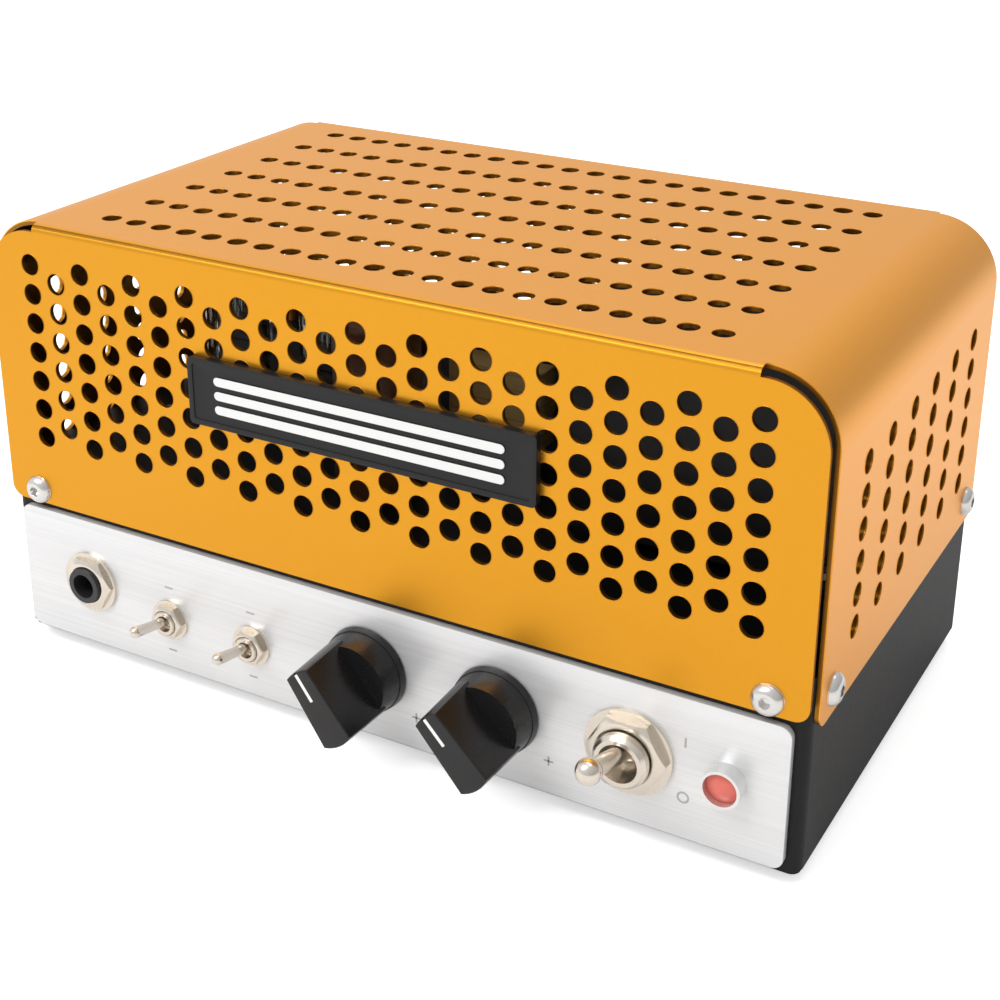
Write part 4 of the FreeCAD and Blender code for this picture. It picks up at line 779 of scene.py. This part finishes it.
@dataclass
class Nut:
    """A hexagon nut with turned-down corners."""

    across: float
    thick: float
    bore: float
    dome: float = 0.5

    def mesh(self, name: str) -> Mesh:
        """Builds the nut, standing on z = 0 with its corners chamfered by a cone.

        Args:
            name: The mesh's name.

        Returns:
            The mesh, in metres.
        """
        flat = self.across / 2 * 0.97
        hexa = hexagon(self.across)
        slope = math.tan(math.radians(28))

        def brim(angle: float) -> float:
            """Returns the height where the chamfer cone meets the hexagon's side."""
            return self.thick - (hexa(angle) - flat) * slope - self.dome * 0.25

        lip = self.bore + 0.35
        rings = [(self.bore, 0.0), (lambda a: min(hexa(a), flat + 1.2), 0.0),
                 (hexa, 0.12), (hexa, brim),
                 (flat, self.thick - self.dome * 0.25),
                 ((flat + lip) / 2, self.thick - 0.02),
                 (lip, self.thick), (self.bore, self.thick - 0.25)]
        mesh = spun(name, rings, 72)
        smooth_by_angle(mesh, 22)
        return mesh


@dataclass
class ButtonHead:
    """A domed screw head with a hexagon socket."""

    radius: float = 3.8
    height: float = 2.0
    socket: float = 2.5
    deep: float = 1.3

    def mesh(self, name: str) -> Mesh:
        """Builds the head, seated on z = 0.

        Args:
            name: The mesh's name.

        Returns:
            The mesh, in metres.
        """
        hexa = hexagon(self.socket)
        rings: List[Tuple[ByAngle, ByAngle]] = [(self.radius * 0.97, 0.0)]
        for i in range(9):
            t = i / 8
            r = self.radius - (self.radius - self.socket * 0.72) * t ** 1.35
            z = 0.25 + (self.height - 0.27) * math.sin(t * math.pi / 2)
            rings.append((r, z))
        foot = self.height - self.deep
        rings += [(lambda a: hexa(a) + 0.08, self.height - 0.02),
                  (hexa, self.height - 0.12), (hexa, foot),
                  (0.4, foot - 0.25)]
        mesh = spun(name, rings, 36, False)
        smooth_by_angle(mesh, 40)
        return mesh


@dataclass
class Placing:
    """One place for a copy: a point, the way it faces and its spin in degrees."""

    where: Vector
    facing: Facing
    spin: float = 0.0


def fitted(name: str, mesh: Mesh, places: Sequence[Placing], finish: Finish) -> Object:
    """Puts copies of a mesh at places through the fitted-copies tree.

    Args:
        name: The finished piece's name.
        mesh: The mesh to copy.
        places: Where the copies go.
        finish: Their finish.

    Returns:
        One object with every copy in it.
    """
    points = bpy.data.meshes.new(name + "_points")
    points.from_pydata([tuple(p.where) for p in places], [], [])
    facing = points.attributes.new("facing", "FLOAT_VECTOR", "POINT")
    facing.data.foreach_set("vector", [c for p in places for c in p.facing.value])
    spin = points.attributes.new("spin", "FLOAT", "POINT")
    spin.data.foreach_set("value", [math.radians(p.spin) for p in places])
    piece = linked(name + "_one", mesh)
    result = grown(name, Trees.COPIES, {"Piece": piece, "Finish": finish.material()}, points)
    bpy.data.objects.remove(piece)
    smooth_by_angle(result.data, 35)
    return result


def softened(node: str, name: str, width: float, finish: Finish, segments: int = 2) -> Object:
    """Copies a CAD node, merges it and rounds its hard edges a little.

    Args:
        node: The CAD node.
        name: The new piece's name.
        width: Width of the rounding, mm.
        finish: The finish of the piece.
        segments: Steps across the rounding.

    Returns:
        The rounded piece, which stands for the node.
    """
    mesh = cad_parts[node].data.copy()
    mesh.name = name
    work = bmesh.new()
    work.from_mesh(mesh)
    bmesh.ops.remove_doubles(work, verts=work.verts, dist=2e-6)
    bmesh.ops.dissolve_limit(work, angle_limit=math.radians(1.0), verts=work.verts,
                             edges=work.edges)
    bmesh.ops.recalc_face_normals(work, faces=work.faces)
    sharp = [e for e in work.edges
             if len(e.link_faces) == 2 and e.calc_face_angle(0) > math.radians(30)]
    bmesh.ops.bevel(work, geom=sharp, offset=width * MM, segments=segments, profile=0.6,
                    affect="EDGES", clamp_overlap=True)
    bmesh.ops.triangulate(work, faces=[f for f in work.faces if len(f.verts) > 4])
    work.to_mesh(mesh)
    work.free()
    smooth_by_angle(mesh, 32)
    mesh.materials.clear()
    mesh.materials.append(finish.material())
    return linked(name, mesh)


def seat(piece: Object, body: str, *nodes: str) -> None:
    """Rides a piece on its body, hides the CAD nodes that it stands for, and logs it.

    Args:
        piece: The finished piece.
        body: The body it moves with.
        nodes: The CAD nodes that it stands for, if any.
    """
    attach(piece, body)
    if nodes:
        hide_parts(*nodes)
    LOG.info("%-24s on %-15s %7d triangles", piece.name, body,
             sum(len(p.vertices) - 2 for p in piece.data.polygons))


# ----- sub-assemblies
@dataclass
class Cover:
    """The perforated cover's broken edges, its screws and its badge."""

    screw_z: float = 45.5
    front_screw_x: float = 100.5
    side_half: float = 111.0
    depth: float = 124.0
    top: float = 118.3
    side_screw_in: float = 10.8
    panel_columns: int = 25
    panel_rows: int = 13
    column_pitch: float = 8.0
    row_pitch: float = 7.72
    panel_row_drop: float = 10.6
    top_columns: int = 22
    top_pitch: float = 7.71
    depth_rows: int = 7
    depth_pitch: float = 16.2
    first_depth: float = 14.0
    side_count: int = 6
    side_row_drop: float = 25.0
    wide_hole: float = 2.75
    top_hole: float = 2.5
    bead: float = 0.09
    bead_out: float = 0.06
    badge_z: float = 85.4
    stripe: Point = (78.0, 2.2, 0.12)
    stripe_pitch: float = 3.6

    def build(self) -> None:
        """Builds every piece of the cover."""
        self.rims()
        self.screws()
        self.badge()

    def rims(self) -> None:
        """Rolls the perforations' edges on all five faces."""
        quarter = math.pi / 2
        panel_z = self.top - self.panel_row_drop - 3 * self.row_pitch
        side_z = self.top - self.side_row_drop - 2.5 * self.row_pitch
        middle = self.first_depth + 3 * self.depth_pitch
        panel = (self.panel_columns, self.panel_rows, self.column_pitch, self.row_pitch / 2,
                 True, self.wide_hole)
        side = (self.side_count, self.side_count, self.row_pitch, self.depth_pitch,
                False, self.wide_hole)
        roof = (self.top_columns, self.depth_rows, self.top_pitch, self.depth_pitch,
                False, self.top_hole)
        grids = (
            ("front_hole_rims", panel, at(0, 0, panel_z), (quarter, 0, 0)),
            ("rear_hole_rims", panel, at(0, self.depth, panel_z), (quarter, 0, 0)),
            ("top_hole_rims", roof, at(0, middle, self.top - self.bead), (0, 0, 0)),
            ("left_hole_rims", side, at(-self.side_half, middle, side_z), (0, quarter, 0)),
            ("right_hole_rims", side, at(self.side_half, middle, side_z), (0, quarter, 0)),
        )
        for name, (columns, rows, pitch, row, staggered, radius), centre, turn in grids:
            piece = grown(name, Trees.RIMS, {
                "Columns": columns, "Rows": rows, "Column pitch": pitch * MM, "Row pitch": row * MM,
                "Staggered": staggered, "Hole radius": (radius + self.bead_out) * MM,
                "Bead": self.bead * MM, "Centre": centre, "Turn": turn,
                "Finish": Palette.GOLD.material()})
            seat(piece, "case")

    def screws(self) -> None:
        """Fits the eight button-head screws."""
        places = []
        for sign in (-1, 1):
            x = sign * self.front_screw_x
            places.append(Placing(at(x, 0, self.screw_z), Facing.FRONT, 12 + 25 * sign))
            places.append(Placing(at(x, self.depth, self.screw_z), Facing.REAR, 40 * sign))
            side = Facing.RIGHT if sign > 0 else Facing.LEFT
            for y in (self.side_screw_in, self.depth - self.side_screw_in):
                places.append(Placing(at(sign * self.side_half, y, self.screw_z), side, 17 + y))
        piece = fitted("cover_screw_heads", ButtonHead().mesh("button_head"), places, Palette.SCREW)
        seat(piece, "case")

    def badge(self) -> None:
        """Rounds the badge plate's edges and lays plain enamel stripes on it."""
        seat(softened("badge_plate", "badge", 0.18, Palette.BADGE), "case", "badge_plate")
        stripe = flat_bar("stripe", *self.stripe)
        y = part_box("badge_plate")[0][1] / MM + MIDDLE
        places = [Placing(at(0, y, self.badge_z + k * self.stripe_pitch), Facing.FRONT)
                  for k in (-1, 0, 1)]
        seat(fitted("badge_stripes", stripe, places, Palette.INLAY), "case")


def flat_bar(name: str, length: float, tall: float, thick: float) -> Mesh:
    """Builds a flat bar with rounded ends and a broken top edge, lying on z = 0.

    Args:
        name: The mesh's name.
        length: Length along X, mm.
        tall: Width along Y, mm.
        thick: Thickness, mm.

    Returns:
        The mesh, in metres.
    """
    work = bmesh.new()
    loops = []
    for inset, z in ((0.0, 0.0), (0.0, thick * 0.6), (thick * 0.5, thick)):
        loop = []
        r = tall / 2 - inset
        for side in (1, -1):
            for i in range(9):
                a = -math.pi / 2 + math.pi * i / 8
                x = side * (length / 2 - tall / 2) + side * r * math.cos(a)
                loop.append(work.verts.new((x * MM, side * r * math.sin(a) * MM, z * MM)))
        loops.append(loop)
    n = len(loops[0])
    for low, high in zip(loops, loops[1:]):
        for i in range(n):
            work.faces.new((low[i], low[(i + 1) % n], high[(i + 1) % n], high[i]))
    work.faces.new(loops[-1])
    work.faces.new(loops[0][::-1])
    bmesh.ops.recalc_face_normals(work, faces=work.faces)
    mesh = bpy.data.meshes.new(name)
    work.to_mesh(mesh)
    work.free()
    return mesh


@dataclass
class Faceplate:
    """The brushed plate and its plain etched marks."""

    face: float = -0.6
    knob_xs: Tuple[float, float] = (1.25, 36.5)
    toggle_xs: Tuple[float, float] = (-58.6, -33.0)
    power_x: float = 69.9
    sign_out: float = 13.6
    sign_z: float = 13.6
    switch_out: float = 13.2
    on_z: float = 29.5
    off_z: float = 15.5
    toggle_mark_zs: Tuple[float, float] = (28.2, 10.2)

    def build(self) -> None:
        """Rounds the plate and etches a plus, a minus and switch marks."""
        seat(softened("faceplate", "front_plate", 0.15, Palette.PLATE), "case", "faceplate")
        bar = flat_bar("mark_bar", 2.6, 0.5, 0.04)
        spots = []
        for x in self.knob_xs:
            plus, minus = x + self.sign_out, x - self.sign_out
            spots += [(plus, self.sign_z, 0), (plus, self.sign_z, 90), (minus, self.sign_z, 0)]
        switch_x = self.power_x + self.switch_out
        spots.append((switch_x, self.on_z, 90))
        spots += [(x, z, 0) for x in self.toggle_xs for z in self.toggle_mark_zs]
        places = [Placing(at(x, self.face, z), Facing.FRONT, spin) for x, z, spin in spots]
        seat(fitted("etched_bars", bar, places, Palette.MARKS), "case")
        ring = spun("mark_ring", [(1.0, 0.0), (1.5, 0.0),
                                  (1.45, 0.04), (1.05, 0.04)], 32)
        rings = [Placing(at(switch_x, self.face, self.off_z), Facing.FRONT)]
        seat(fitted("etched_ring", ring, rings, Palette.MARKS), "case")


@dataclass
class Controls:
    """Knobs, nuts and threads."""

    power_x: float = 69.9
    toggle_xs: Tuple[float, float] = (-58.6, -33.0)
    jack_x: float = -84.4
    speaker_xs: Tuple[float, ...] = (-82.0, -54.0, -26.0)
    control_z: float = 23.1
    toggle_z: float = 19.2
    speaker_z: float = 27.5

    def build(self) -> None:
        """Builds every piece of the controls."""
        for knob in ("gain", "volume"):
            seat(softened(f"{knob}_knob", f"{knob}_pointer_knob", 0.28, Palette.KNOB, 3),
                 f"{knob}_control", f"{knob}_knob")
        self.nut("power_switch_nut", 17.0, 6.75, [(self.power_x, self.control_z)])
        self.nut("toggle_nuts", 8.0, 3.15, [(x, self.toggle_z) for x in self.toggle_xs])
        self.jack_nuts()
        self.threads()

    def nut(self, node: str, across: float, bore: float,
            places: Sequence[Tuple[float, float]]) -> None:
        """Fits nuts in place of a CAD node, in the depth that it has.

        Args:
            node: The CAD node that they stand for.
            across: Width across the flats, mm.
            bore: Radius of the bore, mm.
            places: Across and up for each nut, mm.
        """
        low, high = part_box(node)
        thick = (high[1] - low[1]) / MM
        back = high[1] / MM + MIDDLE
        mesh = Nut(across, thick, bore).mesh(node + "_hex")
        spots = [Placing(at(x, back, z), Facing.FRONT, 0) for x, z in places]
        seat(fitted(node + "_fitted", mesh, spots, Palette.NICKEL), "case", node)

    def jack_nuts(self) -> None:
        """Fits the domed nuts of the input and speaker sockets."""
        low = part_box("jack_nuts")[0]
        washer_low, washer_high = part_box("jack_washers")
        front = washer_low[1] / MM + MIDDLE
        rear = washer_high[1] / MM + MIDDLE
        thick = (washer_low[1] - low[1]) / MM
        mesh = Nut(13.0, thick, 4.75, 1.6).mesh("jack_hex")
        places = [Placing(at(self.jack_x, front, self.control_z), Facing.FRONT, 0)]
        places += [Placing(at(x, rear, self.speaker_z), Facing.REAR, 8 * i)
                   for i, x in enumerate(self.speaker_xs)]
        seat(fitted("jack_nuts_fitted", mesh, places, Palette.NICKEL), "case", "jack_nuts")

    def threads(self) -> None:
        """Cuts thread ridges on the power and toggle bushes."""
        quarter = (math.pi / 2, 0, 0)
        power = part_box("power_switch_body")[0][1] / MM + MIDDLE
        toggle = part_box("toggle_bodies")[0][1] / MM + MIDDLE
        bushes = [("power_thread", self.power_x, self.control_z, 6.5, 0.13, 0.62, 3, power + 1.0)]
        bushes += [(f"toggle_thread_{'ab'[i]}", x, self.toggle_z, 3.0, 0.09, 0.4, 4, toggle + 0.25)
                   for i, x in enumerate(self.toggle_xs)]
        for name, x, z, radius, ridge, pitch, count, y in bushes:
            start = at(x, y + pitch * (count - 1), z)
            piece = grown(name, Trees.THREAD, {
                "Radius": radius * MM, "Ridge": ridge * MM, "Pitch": pitch * MM, "Count": count,
                "Start": start, "Turn": quarter, "Finish": Palette.NICKEL.material()})
            seat(piece, "case")


@dataclass
class Studio:
    """Floor, lights and camera."""

    place: Point = (0.20098, -0.34519, 0.24084)
    turn: Point = (68.8834, -0.2498, 29.3017)
    lens: float = 61.806
    rise: float = -0.15
    aim: float = 0.06
    floor_half: float = 4.0
    floor_drop: float = 0.00005
    floor_glow: float = 0.55
    sky_level: float = 0.66
    sky_slope: Point = (-0.22, -0.04, 0.16)
    sky_seen: float = 3.0
    lamps: Tuple[Tuple[str, Point, float, float], ...] = (
        ("key", (-0.55, -0.75, 0.95), 0.55, 4.5),
        ("fold", (-0.15, -0.62, 1.05), 0.30, 2.5),
        ("top", (0.1, 0.25, 1.1), 0.8, 3.0))

    def build(self) -> None:
        """Sets the floor, the lights and the camera."""
        mesh = bpy.data.meshes.new("floor")
        far = self.floor_half
        corners = [(-far, -far, 0), (far, -far, 0), (far, far, 0), (-far, far, 0)]
        mesh.from_pydata(corners, [], [(0, 1, 2, 3)])
        mesh.materials.append(self.bright_floor())
        floor = linked("floor", mesh)
        floor.data.transform(Matrix.Translation((0, 0, -self.floor_drop)))
        world = bpy.data.worlds.new("studio")
        bpy.context.scene.world = world
        world.use_nodes = True
        self.sky(world.node_tree)
        for lamp in self.lamps:
            self.lamp(*lamp)
        data = bpy.data.cameras.new("camera")
        data.lens, data.sensor_width, data.shift_y = self.lens, 36.0, self.rise
        camera = linked("camera", data)
        camera.location = self.place
        camera.rotation_euler = [math.radians(a) for a in self.turn]
        bpy.context.scene.camera = camera
        bpy.context.scene.view_settings.view_transform = "Standard"

    def bright_floor(self) -> bpy.types.Material:
        """Makes the floor a little lighter to the eye than the light that it throws back.

        Returns:
            The floor's material.
        """
        material = Palette.FLOOR.material()
        tree = material.node_tree
        path = tree.nodes.new("ShaderNodeLightPath")
        glow = maths(tree, "MULTIPLY", path.outputs["Is Camera Ray"], self.floor_glow)
        tree.links.new(glow, tree.nodes["Principled BSDF"].inputs["Emission Strength"])
        return material

    def sky(self, tree: NodeTree) -> None:
        """Lights the studio from all round, more from above and less from the right.

        Args:
            tree: The world's tree.
        """
        back = tree.nodes["Background"]
        coords = tree.nodes.new("ShaderNodeTexCoord")
        dot = tree.nodes.new("ShaderNodeVectorMath")
        dot.operation = "DOT_PRODUCT"
        dot.inputs[1].default_value = self.sky_slope
        tree.links.new(coords.outputs["Generated"], dot.inputs[0])
        lift = maths(tree, "ADD", dot.outputs["Value"], self.sky_level)
        path = tree.nodes.new("ShaderNodeLightPath")
        seen = maths(tree, "MULTIPLY", path.outputs["Is Camera Ray"], self.sky_seen)
        tree.links.new(maths(tree, "ADD", lift, seen), back.inputs[1])
        back.inputs[0].default_value = (1.0, 1.0, 1.0, 1.0)

    def lamp(self, name: str, place: Point, size: float, power: float) -> None:
        """Adds a square soft light aimed at the amplifier.

        Args:
            name: The light's name.
            place: Where it stands, m.
            size: Its side, m.
            power: Its power, W.
        """
        data = bpy.data.lights.new(name, "AREA")
        data.energy, data.size = power, size
        lamp = linked(name, data)
        lamp.location = place
        towards = Vector((0, 0, self.aim)) - Vector(place)
        lamp.rotation_euler = towards.to_track_quat("-Z", "Y").to_euler()


def dress_nodes() -> None:
    """Gives every CAD node that stays its procedural finish."""
    for finish, names in DRESSED:
        for name in names.split():
            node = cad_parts[name]
            if not node.material_slots:
                node.data.materials.append(finish.material())
            for entry in node.material_slots:
                entry.material = finish.material()
            LOG.info("%-24s dressed in %s", name, finish.name)


def main() -> None:
    """Builds the amplifier in order."""
    dress_nodes()
    for assembly in (Cover(), Faceplate(), Controls(), Studio()):
        assembly.build()
    bpy.context.view_layer.update()


if __name__ == "__main__":
    main()
